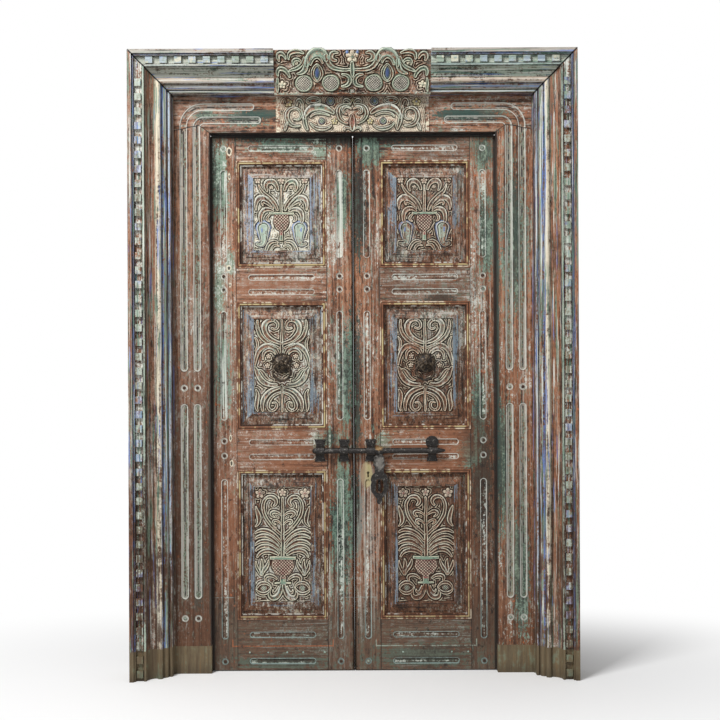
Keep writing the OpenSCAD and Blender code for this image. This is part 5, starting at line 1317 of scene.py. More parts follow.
UPPER = Motifs(
    strokes=[
        ((0, 0.06), (0, 0.4), (0, 0.7), (0, 1), (0.05, 0.045, 0.035)),
        ((0.14, 0.16), (0.27, 0.6), (0.66, 0.62), (0.78, 1.02), (0.05, 0.07, 0.03)),
        ((0.12, 0.86), (0.2, 1.3), (0.68, 1.22), (0.5, 0.82), (0.05, 0.09, 0.04)),
        ((0.27, 0.2), (0.46, 0.7), (0.97, 0.72), (0.88, 0.17), (0.03, 0.1, 0.03)),
        ((0.34, 0.26), (0.5, 0.46), (0.74, 0.5), (0.64, 0.32), (0.03, 0.06, 0.03)),
        ((0.3, 0.12), (0.55, 0.3), (0.82, 0.1), (0.7, -0.28), (0.05, 0.08, 0.05)),
        ((0.4, 0), (0.52, -0.08), (0.54, -0.2), (0.42, -0.24), (0.03, 0.05, 0.03)),
        ((0.63, -0.48), (0.62, -0.78), (0.56, -1.16), (0.84, -1.02), (0.23, 0.13, 0.05),
         (Paint.MIST, Paint.DUSK)),
        ((0.13, -0.97), (0.3, -0.87), (0.46, -0.98), (0.54, -1.25), (0.04, 0.06, 0.05)),
        ((0.08, -1.1), (0.22, -1), (0.32, -1.12), (0.36, -1.27), (0.03, 0.05, 0.03))],
    flowers=[(0, 1.16, 0.13), (0.82, 1.18, 0.13), (0.34, 0.94, 0.08)],
    discs=[],
    gems=[(0.68, -0.54, 0.035, 0.13, Paint.COBALT)],
    vase=[(-0.4, 0.08), (-0.4, -0.01), (-0.22, -0.02), (-0.25, -0.3), (-0.16, -0.52), (-0.06, -0.58),
          (-0.07, -0.92)])
MIDDLE = Motifs(
    strokes=[
        ((0, 0.4), (0, 0.8), (0, 1.2), (0, 1.58), (0.06, 0.05, 0.04)),
        ((0, -0.7), (0, -1), (0, -1.3), (0, -1.58), (0.05, 0.04, 0.04)),
        ((0.04, 0.78), (0.8, 0.94), (0.72, 1.66), (0.3, 1.58), (0.05, 0.09, 0.06)),
        ((0.3, 1.58), (0.05, 1.52), (0.12, 1.16), (0.34, 1.3), (0.06, 0.05, 0.04)),
        ((0.06, 0.6), (0.6, 0.8), (0.92, 1.06), (0.84, 1.56), (0.04, 0.07, 0.04)),
        ((0.12, 0.42), (0.3, 0.86), (0.9, 0.8), (0.94, 0.04), (0.05, 0.09, 0.04)),
        ((0.24, 0.4), (0.36, 0.66), (0.68, 0.6), (0.66, 0.22), (0.03, 0.06, 0.03)),
        ((0.94, -0.06), (0.86, -0.1), (0.8, -0.78), (0.2, -0.66), (0.04, 0.09, 0.05)),
        ((0.82, -0.14), (0.6, -0.14), (0.62, -0.5), (0.36, -0.52), (0.03, 0.06, 0.03)),
        ((0.1, -0.76), (0.56, -0.86), (0.76, -1.18), (0.68, -1.56), (0.05, 0.08, 0.04)),
        ((0.05, -0.94), (0.46, -1), (0.62, -1.5), (0.36, -1.56), (0.04, 0.06, 0.05)),
        ((0.36, -1.56), (0.12, -1.54), (0.14, -1.2), (0.34, -1.3), (0.05, 0.05, 0.03)),
        ((0.9, -0.86), (0.76, -1.06), (0.96, -1.3), (0.86, -1.56), (0.04, 0.08, 0.04)),
        ((0.92, 0.52), (0.78, 0.72), (0.86, 0.9), (0.93, 0.98), (0.03, 0.05, 0.03))],
    flowers=[(0.5, 0, 0.1), (0.47, 0.32, 0.1), (0.84, 1.3, 0.09)],
    discs=[(0.56, -0.32, 0.08, 0.7)])
LOWER = Motifs(
    strokes=[
        ((0, -0.44), (0, 0.3), (0, 1), (0, 1.6), (0.07, 0.06, 0.04)),
        ((0.06, 0.34), (0.62, 0.76), (0.84, 1.3), (0.56, 1.6), (0.05, 0.06, 0.05)),
        ((0.56, 1.6), (0.36, 1.74), (0.1, 1.5), (0.3, 1.34), (0.05, 0.07, 0.04)),
        ((0.04, 0.98), (0.3, 1.26), (0.54, 1.04), (0.28, 0.94), (0.03, 0.06, 0.03)),
        ((0.04, 0.68), (0.24, 0.94), (0.44, 0.78), (0.24, 0.68), (0.03, 0.05, 0.03)),
        ((0.08, 0.1), (0.4, 0.5), (0.7, 0.56), (0.94, 0.4), (0.04, 0.07, 0.04)),
        ((0.1, -0.06), (0.4, 0.32), (0.7, 0.38), (0.95, 0.2), (0.04, 0.07, 0.04)),
        ((0.1, -0.18), (0.4, 0.13), (0.7, 0.2), (0.95, -0.01), (0.04, 0.07, 0.04)),
        ((0.12, -0.3), (0.4, -0.04), (0.75, 0.04), (0.93, -0.22), (0.04, 0.07, 0.04)),
        ((0.16, -0.38), (0.36, -0.18), (0.74, -0.12), (0.88, -0.44), (0.04, 0.07, 0.04)),
        ((0.93, 0.62), (0.7, 0.8), (0.88, 1.06), (0.93, 1.3), (0.03, 0.08, 0.03)),
        ((0.72, -1.06), (0.7, -0.86), (0.5, -0.8), (0.5, -0.56), (0.04, 0.07, 0.03)),
        ((0.74, -1.06), (0.76, -0.9), (0.7, -0.7), (0.74, -0.54), (0.04, 0.07, 0.03)),
        ((0.76, -1.06), (0.86, -0.9), (0.92, -0.8), (0.93, -0.6), (0.04, 0.06, 0.03)),
        ((0.22, -1.2), (0.4, -1), (0.7, -1.08), (0.6, -1.26), (0.04, 0.06, 0.04)),
        ((0.42, -1.5), (0.56, -1.24), (0.88, -1.32), (0.92, -1.56), (0.03, 0.06, 0.03)),
        ((0.42, -1.52), (0.5, -1.78), (0.84, -1.76), (0.92, -1.58), (0.03, 0.06, 0.03)),
        ((0.14, -1.48), (0.2, -1.7), (0.32, -1.76), (0.34, -1.6), (0.03, 0.05, 0.03)),
        ((0.05, -1.42), (0.04, -1.92), (0.54, -2), (0.46, -1.66), (0.05, 0.09, 0.04))],
    flowers=[(0, 1.78, 0.15), (0.78, 1.76, 0.19), (0.3, 0.56, 0.1)],
    discs=[(0.67, -1.53, 0.12, 0.7)],
    vase=[(-0.42, -0.42), (-0.42, -0.54), (-0.32, -0.55), (-0.36, -0.8), (-0.22, -1.04), (-0.1, -1.1),
          (-0.1, -1.3), (-0.26, -1.32), (-0.26, -1.4)])
CREST = Motifs(
    strokes=[
        ((0, 0.44), (0, 0.2), (0, 0), (0, -0.2), (0.06, 0.1, 0.05)),
        ((0.44, -0.1), (-0.02, -0.1), (0, -0.66), (0.44, -0.64), (0.05, 0.09, 0.05)),
        ((0.1, 0.12), (0.86, 0.04), (1.02, 0.3), (1.12, 0.74), (0.06, 0.1, 0.1)),
        ((0.62, 0.86), (0.96, 1), (1.02, 0.5), (0.68, 0.52), (0.05, 0.1, 0.05)),
        ((1.12, 0.56), (1.2, 1.06), (1.86, 1.06), (1.94, 0.3), (0.1, 0.2, 0.08)),
        ((1.28, 0.42), (1.36, 0.8), (1.68, 0.8), (1.78, 0.34), (0.05, 0.08, 0.05)),
        ((1.96, 0.66), (1.94, 0.16), (2.06, -0.02), (2.36, -0.06), (0.07, 0.11, 0.05)),
        ((2.06, 0.66), (2.14, 0.1), (2.6, 0.16), (2.72, 0.02), (0.05, 0.08, 0.04)),
        ((2.2, 0.44), (2.3, 0.66), (2.62, 0.6), (2.52, 0.32), (0.05, 0.08, 0.04)),
        ((2.1, 0.86), (2.4, 1), (2.78, 0.96), (2.72, 0.6), (0.05, 0.1, 0.05)),
        ((2.86, 0.62), (2.98, 0.98), (3.3, 0.86), (3.14, 0.52), (0.05, 0.1, 0.05)),
        ((2.7, -0.2), (2.86, 0.24), (3.3, 0.3), (3.2, -0.14), (0.06, 0.1, 0.05)),
        ((3.22, -0.3), (3.26, -0.5), (3.2, -0.7), (3.24, -0.86), (0.05, 0.07, 0.05)),
        ((1.5, 0.34), (1.24, 0.1), (1.26, -0.26), (1.5, -0.4), (0.05, 0.07, 0.05)),
        ((1.52, 0.34), (1.78, 0.1), (1.76, -0.26), (1.52, -0.4), (0.05, 0.07, 0.05))],
    flowers=[(0, 0.7, 0.3), (3.02, -0.56, 0.2), (2.4, 0.4, 0.1)],
    discs=[(0.93, -0.49, 0.4, 0.9), (2.09, -0.5, 0.4, 0.9), (0, -0.84, 0.1, 0.6)],
    gems=[(1.51, -0.03, 0.11, 0.3, Paint.NAVY), (0.22, 0.9, 0.08, 0.1, Paint.COBALT)])
BOARD = Motifs(
    strokes=[
        ((0.16, 0.52), (1.06, 0.62), (0.96, -0.4), (0.28, -0.52), (0.07, 0.1, 0.06)),
        ((0.08, 0.28), (0.5, 0.62), (0.72, 0.06), (0.34, 0), (0.05, 0.08, 0.05)),
        ((0, -0.1), (0, -0.36), (0, -0.6), (0, -0.88), (0.08, 0.16, 0.1)),
        ((0.12, -0.86), (0.3, -0.7), (0.5, -0.74), (0.46, -0.9), (0.05, 0.07, 0.05)),
        ((0.1, 0.62), (0.24, 0.9), (0.46, 0.86), (0.5, 0.66), (0.06, 0.09, 0.05)),
        ((1.1, 0.06), (1.7, 0.56), (2.56, 0.54), (2.72, -0.24), (0.1, 0.2, 0.07)),
        ((1.3, -0.1), (1.7, 0.14), (2.2, 0.12), (2.36, -0.16), (0.05, 0.08, 0.05)),
        ((1.2, -0.66), (1.5, -0.94), (2.1, -0.9), (2.36, -0.54), (0.05, 0.1, 0.05)),
        ((2.56, -0.86), (2.76, -0.4), (2.7, 0), (2.86, 0.4), (0.07, 0.11, 0.06)),
        ((2.8, 0.36), (2.82, 0.88), (3.16, 0.96), (3.14, 0.52), (0.06, 0.1, 0.06)),
        ((2.98, -0.66), (3.9, -0.86), (3.9, 0.5), (3.2, 0.34), (0.06, 0.11, 0.07)),
        ((3.2, 0.34), (2.72, 0.2), (2.9, -0.46), (3.32, -0.3), (0.07, 0.08, 0.04)),
        ((3.66, -0.5), (3.8, -0.62), (3.74, -0.8), (3.84, -0.9), (0.05, 0.08, 0.05)),
        ((1.82, 0.74), (1.9, 0.98), (2.5, 0.98), (2.58, 0.74), (0.06, 0.08, 0.06)),
        ((1.82, 0.74), (1.9, 0.52), (2.5, 0.52), (2.58, 0.74), (0.06, 0.08, 0.06))],
    flowers=[(3.62, 0.66, 0.26), (1, -0.42, 0.2), (0, 0.78, 0.14)],
    discs=[(1.25, 0.72, 0.24, 0.9), (1.74, -0.4, 0.18, 0.8)],
    gems=[(1.25, 0.72, 0.13, 0.13, Paint.COBALT), (2.2, 0.74, 0.2, 0.12, Paint.WOOD_MID)])


@dataclass
class PanelSet:
    """The three carved panels of one leaf, in millimetres behind the leaf's face.

    Attributes:
        side: -1 for the left leaf and 1 for the right.
    """

    side: int
    clear: float = 0.2
    margin_d: float = 15.0
    margin_in: float = 23.0
    bevel_w: float = 33.0
    rim_d: float = 4.0
    rim_w: float = 3.0
    relief: float = 8.0
    back: float = 34.0
    tongue: float = 9.8
    tongue_d: tuple[float, float] = (15.2, 27.0)
    cell: float = 1.3
    boss_r: float = 34.0
    echo_pitch: float = 7.4
    echo_left: float = 0.72

    @property
    def leaf(self) -> str:
        """The leaf's name."""
        return "left" if self.side < 0 else "right"

    def lines(self, half: float) -> np.ndarray:
        """Grid lines across an opening: few over margin and bevel, many over the field."""
        field_half = half - self.margin_in - self.bevel_w
        inner = field_half - self.rim_w
        steps = int(round(2 * inner / self.cell))
        edge = [half - self.clear, half - self.margin_in]
        edge += [half - self.margin_in - self.bevel_w * k / 6 for k in range(1, 7)]
        edge += [inner + 0.4]
        edge = np.array(edge)
        return np.concatenate([-edge, np.linspace(-inner, inner, steps + 1), edge[::-1]])

    def panel(self, row: int, name: str, motifs: Motifs, colours: Colours,
              material: bpy.types.Material) -> None:
        """Builds one panel and seats it on its leaf.

        Args:
            row: Opening from the bottom.
            name: The CAD node that it stands for.
            motifs: Its design.
            colours: Its paints.
            material: Its finish.
        """
        low, high = [z / MM for z in PLAN.openings[row]]
        hw, hh = (PLAN.stile_x1 - PLAN.stile_x0) / 2 / MM, (high - low) / 2
        xs, ys = self.lines(hw), self.lines(hh)
        unit = hw - self.margin_in - self.bevel_w
        carving = Carving(xs, ys, unit, self.relief, colours, 10 * row + 5 * self.side + 40)
        carving.carve(motifs)
        gx, gy = carving.gx, carving.gy
        inset = np.minimum(hw - np.abs(gx), hh - np.abs(gy))
        rim = self.margin_in + self.bevel_w
        in_field = inset >= rim + self.rim_w - 0.01
        carving.echo(inset - rim - self.rim_w, self.echo_pitch, self.echo_left, colours.edge)
        if motifs is MIDDLE:
            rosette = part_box(f"{self.leaf}_pull_rosette")
            pull = (rosette[0].z + rosette[1].z) / 2 / MM
            near = np.hypot(gx, gy - (pull - (low + high) / 2)) < self.boss_r
            carving.h = np.where(near, self.relief, carving.h)
        depth = np.interp(inset, [0, self.margin_in, rim, rim + self.rim_w - 0.3],
                          [self.margin_d, self.margin_d, self.rim_d, self.rim_d])
        ground = self.rim_d + self.relief
        depth = np.where(in_field, ground - np.clip(carving.h, -0.8, self.relief), depth)
        parts = MeshParts()
        cx, cz = self.side * PLAN.panel_x, (low + high) / 2 * MM
        spots = np.stack([cx + gx * MM, PLAN.y_leaf + depth * MM, cz + gy * MM], -1).reshape(-1, 3)
        hollow = np.where(in_field, carving.hollows(), 0)
        paint, cover, bevel = self.border(carving, row, hw, hh, in_field)
        relief = np.where(in_field, np.clip(carving.h / self.relief, 0, 1), bevel)
        parts.add(spots, relief.ravel(), hollow.ravel(), cover.ravel(), paint.reshape(-1, 3))
        self.front_faces(parts, gx.shape)
        self.body_rings(parts, gx, gy, cx, cz)
        piece = parts.build(f"carved_{name}", material)
        settle(piece, f"{self.leaf}_leaf", "panel_carving", name)

    def border(self, carving: Carving, row: int, hw: float, hh: float,
               in_field: np.ndarray) -> tuple[np.ndarray, np.ndarray, np.ndarray]:
        """Paint of the margin, bevel and rim round the carved field.

        Returns:
            Linear colours, shares of paint left, and 2 on the flanks or 3 above and below, for every
            grid point.
        """
        gx, gy = carving.gx, carving.gy
        flank = (hw - np.abs(gx)) < (hh - np.abs(gy))
        along, across = np.where(flank, gy, gx), np.where(flank, gx, gy)
        soft = lattice_noise(along, across * 0.3, 90, carving.seed + 3)
        inner = np.clip((np.minimum(hw - np.abs(gx), hh - np.abs(gy)) - self.margin_in) / self.bevel_w, 0, 1)
        pale = row == 2 and self.side < 0
        blue = Carving.blend(Paint.NAVY, Paint.SKY if pale else Paint.ICE, np.array(0.6 if pale else 0.42))
        edge = np.where((flank | (gy < 0))[..., None], blue, Paint.ASH.linear[:3])
        paint = np.where(in_field[..., None], carving.paint, edge)
        most = (0.36, 0.42, 0.4)[row] + (0.05 if self.side < 0 else 0.0)
        left = most - 0.08 + 0.26 * inner + np.where(flank, np.where(gx < 0, 0.03, -0.03), -0.16) + 0.2 * soft
        return paint, np.where(in_field, carving.cover, left), np.where(flank, 2.0, 3.0)

    @staticmethod
    def front_faces(parts: MeshParts, shape: tuple[int, int]) -> None:
        """Faces of the front, split along the mitres in the corners."""
        rows, cols = shape
        number = numbered(shape)
        edge = 9
        for j in range(rows - 1):
            for i in range(cols - 1):
                a, b, c, d = number[j, i], number[j, i + 1], number[j + 1, i + 1], number[j + 1, i]
                corner = (i < edge or i >= cols - 1 - edge) and (j < edge or j >= rows - 1 - edge)
                if not corner:
                    parts.faces.append([a, b, c, d])
                elif (i < cols / 2) == (j < rows / 2):
                    parts.faces += [[a, b, c], [a, c, d]]
                else:
                    parts.faces += [[a, b, d], [b, c, d]]

    def body_rings(self, parts: MeshParts, gx: np.ndarray, gy: np.ndarray, cx: float, cz: float) -> None:
        """Sides, tongue and back of the panel, from the front's border inwards."""
        loop = border_loop(numbered(gx.shape))
        x, y = gx.ravel()[loop], gy.ravel()[loop]
        ring = loop
        front, rear = self.tongue_d
        for out, deep in ((0, front), (self.tongue, front), (self.tongue, rear), (0, rear), (0, self.back)):
            sx = x + out * np.sign(x) * (np.abs(x) > np.abs(x).max() - 1e-6)
            sy = y + out * np.sign(y) * (np.abs(y) > np.abs(y).max() - 1e-6)
            spots = np.stack([cx + sx * MM, np.full(len(loop), PLAN.y_leaf + deep * MM), cz + sy * MM], -1)
            first = parts.add(spots)
            after = np.arange(first, first + len(loop))
            parts.strip(after, ring)
            ring = after
        parts.faces.append(list(ring[::-1]))

    def build(self, materials: dict[str, bpy.types.Material]) -> None:
        """Builds the three panels."""
        left = self.side < 0
        base = dict(ground=Paint.CREAM if left else Paint.ASH, edge=Paint.CHALK,
                    flower=Paint.BLUSH, disc=Paint.MIST, disc_edge=Paint.ROSE,
                    leaf_left=0.5 if left else 0.42)
        finish = materials["carved_left" if left else "carved_right"]
        grounds = (0.36, 0.34, 0.52) if left else (0.16, 0.2, 0.12)
        for row, (name, motifs) in enumerate((("lower", LOWER), ("middle", MIDDLE), ("upper", UPPER))):
            leaf = Paint.SAGE if left and row != 1 else Paint.TEAL
            colours = Colours(ground_left=grounds[row], leaf=leaf, **base)
            self.panel(row, f"{self.leaf}_{name}_panel", motifs, colours, finish)


@dataclass
class HeadCarvings:
    """The crest block and the carved board under it, in millimetres."""

    cell: float = 1.4
    crest_top: float = 92.0
    crest_low: float = 44.0
    crest_seat: float = 14.0
    crest_relief: float = 11.0
    crest_sink: float = 1.2
    crest_over: float = 7.0
    crest_edge: float = 9.0
    crest_stretch: float = 1.065
    strip_w: float = 15.0
    strip_t: float = 4.0
    board_t: float = 7.0
    board_relief: float = 10.0

    def crest(self, material: bpy.types.Material) -> None:
        """Builds the crest: a sloped block with a pierced upper edge."""
        z0, z1, y = PLAN.head_z1 / MM, PLAN.top / MM, PLAN.y_jamb / MM
        half = min(-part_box("crest_block")[0].x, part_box("crest_block")[1].x) / MM
        drop = z1 - z0
        face = math.hypot(drop, self.crest_top - self.crest_low)
        slope = math.atan2(self.crest_top - self.crest_low, drop)
        xs = np.linspace(-half, half, int(2 * half / self.cell) + 1)
        ys = np.linspace(-face / 2, face / 2 + self.crest_over, int((face + self.crest_over) / self.cell) + 1)
        colours = Colours(Paint.FILLER, 0.3, Paint.SAGE, Paint.MIST, Paint.CREAM, Paint.ASH, Paint.SAGE,
                          leaf_left=0.58)
        carving = Carving(xs / self.crest_stretch, ys, face / 2, self.crest_relief, colours, 71)
        carving.carve(CREST)
        figure = carving.solid.copy()
        carving.echo(np.full(carving.gx.shape, 60.0), 8.0, 0.7, Paint.ASH)
        base = carving.gy < -face / 2 + 6 + 2.5 * lattice_noise(carving.gx, carving.gy, 20, 77)
        carving.h = np.where(base, np.maximum(carving.h, self.crest_relief / 2), carving.h)
        carving.paint[base] = Paint.MIST.linear[:3]
        carving.cover[base] = 0.46
        gx = carving.gx * self.crest_stretch
        free = (carving.gy > face / 2) | (half - np.abs(gx) < self.crest_edge)
        inside = ~free | (figure & (carving.h > 0.5)) | base
        height = np.where(inside, np.maximum(carving.h, 0), 0)

        def world(x: np.ndarray, v: np.ndarray, w: np.ndarray) -> np.ndarray:
            """Places on the sloped face, in metres."""
            mid_y, mid_z = y - (self.crest_top + self.crest_low) / 2, (z0 + z1) / 2
            return np.stack([x, mid_y - v * math.sin(slope) - w * math.cos(slope),
                             mid_z + v * math.cos(slope) - w * math.sin(slope)], -1).reshape(-1, 3) * MM

        parts = MeshParts()
        parts.add(world(gx, carving.gy, height), np.clip(height / self.crest_relief, 0, 1).ravel(),
                  carving.hollows().ravel(), carving.cover.ravel(), carving.paint.reshape(-1, 3))
        back = parts.add(world(gx, carving.gy, np.full(height.shape, -self.crest_sink)))
        self.pierced_faces(parts, inside, back)
        block = [(y - self.crest_seat, z0), (y - self.crest_seat, z1),
                 (y - self.crest_top + self.crest_sink, z1),
                 (y - self.crest_low + self.crest_sink, z0)]
        ends = [parts.add(np.array([(s * half, *p) for p in block]) * MM) for s in (-1, 1)]
        left, right = [np.arange(e, e + 4) for e in ends]
        parts.strip(right, left)
        parts.faces += [list(left), list(right[::-1])]
        settle(parts.build("carved_crest", material), "frame", "head_carving", "crest_block")

    @staticmethod
    def pierced_faces(parts: MeshParts, inside: np.ndarray, back: int) -> None:
        """Front, back and walls of a grid that is kept only where it is solid.

        Args:
            parts: The mesh, whose first points are the grid's front.
            inside: Which grid points are solid.
            back: Number of the first point of the grid's back.
        """
        number = numbered(inside.shape)
        keep = inside[:-1, :-1] & inside[1:, :-1] & inside[:-1, 1:] & inside[1:, 1:]
        wide = np.pad(keep, 1)
        for j, i in zip(*np.where(keep)):
            a, b, c, d = number[j, i], number[j, i + 1], number[j + 1, i + 1], number[j + 1, i]
            parts.faces += [[a, b, c, d], [d + back, c + back, b + back, a + back]]
            for free, (m, n) in ((not wide[j, i + 1], (a, b)), (not wide[j + 1, i + 2], (b, c)),
                                 (not wide[j + 2, i + 1], (c, d)), (not wide[j + 1, i], (d, a))):
                if free:
                    parts.faces.append([n, m, m + back, n + back])

    def board(self, material: bpy.types.Material) -> None:
        """Builds the carved board and the plain strips at its ends."""
        z0, z1, y = PLAN.head_z0 / MM, PLAN.head_z1 / MM, PLAN.y_jamb / MM
        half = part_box("head_board")[1].x / MM - self.strip_w
        hh = (z1 - z0) / 2
        xs = np.linspace(-half, half, int(2 * half / self.cell) + 1)
        ys = np.linspace(-hh, hh, int(2 * hh / self.cell) + 1)
        colours = Colours(Paint.BLUSH, 0.47, Paint.SAGE, Paint.CHALK, Paint.YELLOW, Paint.SAGE, Paint.NAVY,
                          leaf_left=0.55)
        carving = Carving(xs, ys, hh, self.board_relief, colours, 91)
        carving.carve(BOARD)
        carving.echo(np.full(carving.gx.shape, 60.0), 6.0, 0.3, Paint.CREAM)
        core = np.hypot(carving.gx / 60, (carving.gy + 12) / 60) < 0.5
        carving.paint[core & (carving.h > 2)] = Paint.ROSE.linear[:3]
        edge = np.minimum(half - np.abs(carving.gx), hh - np.abs(carving.gy))
        h = np.where(edge < 0.5, 0, np.maximum(carving.h, 0))
        parts = MeshParts()
        spots = np.stack([carving.gx, y - self.board_t - h, (z0 + z1) / 2 + carving.gy], -1)
        spots = spots.reshape(-1, 3) * MM
        parts.add(spots, np.clip(h / self.board_relief, 0, 1).ravel(), carving.hollows().ravel(),
                  carving.cover.ravel(), carving.paint.reshape(-1, 3))
        number = numbered(h.shape)
        quads = np.stack([number[:-1, :-1], number[:-1, 1:], number[1:, 1:], number[1:, :-1]], -1)
        quads = quads.reshape(-1, 4)
        parts.faces += quads.tolist()
        loop = border_loop(number)
        first = parts.add(np.column_stack([spots[loop, 0], np.full(len(loop), y * MM), spots[loop, 2]]))
        ring = np.arange(first, first + len(loop))
        parts.strip(ring, loop)
        parts.faces.append(list(ring[::-1]))
        for s in (-1, 1):
            self.strip_block(parts, s * (half + self.strip_w / 2), y, z0, z1)
        settle(parts.build("carved_board", material), "frame", "head_carving", "head_board")

    def strip_block(self, parts: MeshParts, x: float, y: float, z0: float, z1: float) -> None:
        """A plain strip with notched edges, closed all round."""
        zs = np.linspace(z0, z1, 49)
        notch = 1.1 * np.abs(np.sin(np.linspace(0, 9 * math.pi, 49)))
        rings = []
        for z, cut in zip(zs, notch):
            w = self.strip_w / 2 - cut * 0.6
            corner = np.array([(x - w, y, z), (x + w, y, z), (x + w, y - self.strip_t + cut, z),
                               (x - w, y - self.strip_t + cut, z)]) * MM
            rings.append(parts.add(corner, 0.5, 0.0, 0.5, Paint.CREAM.linear[:3]))
        for a, b in zip(rings, rings[1:]):
            parts.strip(np.arange(b, b + 4)[::-1], np.arange(a, a + 4)[::-1])
        parts.faces += [list(range(rings[0], rings[0] + 4)), list(range(rings[-1] + 3, rings[-1] - 1, -1))]


class StudTree:
    """A Geometry Nodes tree that sets a domed stud on every point of a mesh."""

    SIZES = (("Radius", "NodeSocketFloat"), ("Flatness", "NodeSocketFloat"), ("Wobble", "NodeSocketFloat"),
             ("Seed", "NodeSocketInt"), ("Finish", "NodeSocketMaterial"))

    WOBBLE = 0.2
    SEED = 11

    def __init__(self) -> None:
        """Builds the tree."""
        self.tree = bpy.data.node_groups.new("studs", "GeometryNodeTree")
        face = self.tree.interface
        face.new_socket("Geometry", in_out="INPUT", socket_type="NodeSocketGeometry")
        self.inputs = {name: face.new_socket(name, in_out="INPUT", socket_type=kind).identifier
                       for name, kind in self.SIZES}
        face.new_socket("Geometry", in_out="OUTPUT", socket_type="NodeSocketGeometry")
        new, link = self.tree.nodes.new, self.tree.links.new
        given = new("NodeGroupInput").outputs
        ball = new("GeometryNodeMeshUVSphere")
        ball.inputs["Segments"].default_value = 14
        ball.inputs["Rings"].default_value = 8
        link(ball.inputs["Radius"], given["Radius"])
        least = new("ShaderNodeMath")
        least.operation = "SUBTRACT"
        least.inputs[0].default_value = 1.0
        link(least.inputs[1], given["Wobble"])
        size = new("FunctionNodeRandomValue")
        link(size.inputs[2], least.outputs[0])
        link(size.inputs[8], given["Seed"])
        flat = new("ShaderNodeMath")
        flat.operation = "MULTIPLY"
        link(flat.inputs[0], size.outputs[1])
        link(flat.inputs[1], given["Flatness"])
        scale = new("ShaderNodeCombineXYZ")
        for axis, source in enumerate((size.outputs[1], flat.outputs[0], size.outputs[1])):
            link(scale.inputs[axis], source)
        spread = new("GeometryNodeInstanceOnPoints")
        link(spread.inputs["Points"], given["Geometry"])
        link(spread.inputs["Instance"], ball.outputs["Mesh"])
        link(spread.inputs["Scale"], scale.outputs[0])
        real = new("GeometryNodeRealizeInstances")
        link(real.inputs[0], spread.outputs[0])
        paint = new("GeometryNodeSetMaterial")
        link(paint.inputs["Geometry"], real.outputs[0])
        link(paint.inputs["Material"], given["Finish"])
        link(new("NodeGroupOutput").inputs[0], paint.outputs[0])

    def build(self, name: str, spots: list[tuple[float, float, float]], finish: bpy.types.Material,
              radius: float, flatness: float) -> bpy.types.Object:
        """Makes one plain mesh of studs.

        Args:
            name: The piece's name.
            spots: Places of the studs in metres.
            finish: Their material.
            radius: Their radius.
            flatness: Their height, in shares of the radius.

        Returns:
            The piece.
        """
        mesh = bpy.data.meshes.new(f"{name}_places")
        mesh.from_pydata(spots, [], [])
        host = place(f"{name}_places", mesh)
        nodes = host.modifiers.new("studs", "NODES")
        nodes.node_group = self.tree
        values = {"Radius": radius, "Flatness": flatness, "Wobble": self.WOBBLE, "Seed": self.SEED,
                  "Finish": finish}
        for key, value in values.items():
            nodes[self.inputs[key]] = value
        made = bpy.data.meshes.new_from_object(host.evaluated_get(bpy.context.evaluated_depsgraph_get()))
        host.modifiers.remove(nodes)
        bpy.data.objects.remove(host)
        made.polygons.foreach_set("use_smooth", np.ones(len(made.polygons), bool))
        return place(name, made)


@dataclass
class Studs:
    """Nails of the bolt's guides, pale plugs on the leaf bottoms and beads round the pulls, in metres."""

    nail_in: tuple[float, float] = (0.0065, 0.0055)
    plate: tuple[float, float] = (0.038, 0.076)
    wide_plate: float = 0.044
    plate_t: float = 0.004
    bead_sink: float = 0.003
    bead_count: int = 22
    bead_ring: float = 0.0313
    plug_z: float = 0.064
    left_plugs: tuple[float, ...] = (-0.36, -0.297, -0.232, -0.177, -0.103)
    right_plugs: tuple[float, ...] = (0.166, 0.333, 0.389)

    def nails(self, leaf: str) -> list[tuple[float, float, float]]:
        """Nail places at the corners of a leaf's guide plates."""
        low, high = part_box(f"{leaf}_bolt_guides")
        plate_w, plate_h = self.plate
        mids = (low.x + plate_w / 2, high.x - (plate_w if leaf == "left" else self.wide_plate) / 2)
        base = low.z + plate_h / 2
        dx, dz = plate_w / 2 - self.nail_in[0], plate_h / 2 - self.nail_in[1]
        return [(x + s * dx, PLAN.y_leaf - self.plate_t, base + t * dz)
                for x in mids for s in (-1, 1) for t in (-1, 1)]

    def beads(self, leaf: str) -> list[tuple[float, float, float]]:
        """Bead places round a pull's rosette."""
        low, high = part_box(f"{leaf}_pull_rosette")
        turns = [2 * math.pi * k / self.bead_count for k in range(self.bead_count)]
        return [((low.x + high.x) / 2 + self.bead_ring * math.sin(a), high.y - self.bead_sink,
                 (low.z + high.z) / 2 + self.bead_ring * math.cos(a)) for a in turns]

    def build(self, materials: dict[str, bpy.types.Material]) -> None:
        """Builds the studs of both leaves."""
        tree = StudTree()
        for leaf, row in (("left", self.left_plugs), ("right", self.right_plugs)):
            body = f"{leaf}_leaf"
            plugs = [(x, PLAN.y_leaf, self.plug_z) for x in row]
            sets = (("guide_nails", self.nails(leaf), "iron", 0.0036, 0.6, "forged_iron"),
                    ("pull_beads", self.beads(leaf), "pull", 0.0032, 0.8, "pull_iron"),
                    ("plugs", plugs, "plug", 0.0034, 0.3, "peg_wood"))
            for name, spots, key, radius, flatness, slot in sets:
                piece = tree.build(f"{leaf}_{name}", spots, materials[key], radius, flatness)
                settle(piece, body, slot)


def dress_cad(materials: dict[str, bpy.types.Material]) -> None:
    """Gives every CAD piece that shows its finish."""
    for name, node in frame["nodes"].items():
        key = finish_of(name)
        node.data.materials.clear()
        node.data.materials.append(materials[key])


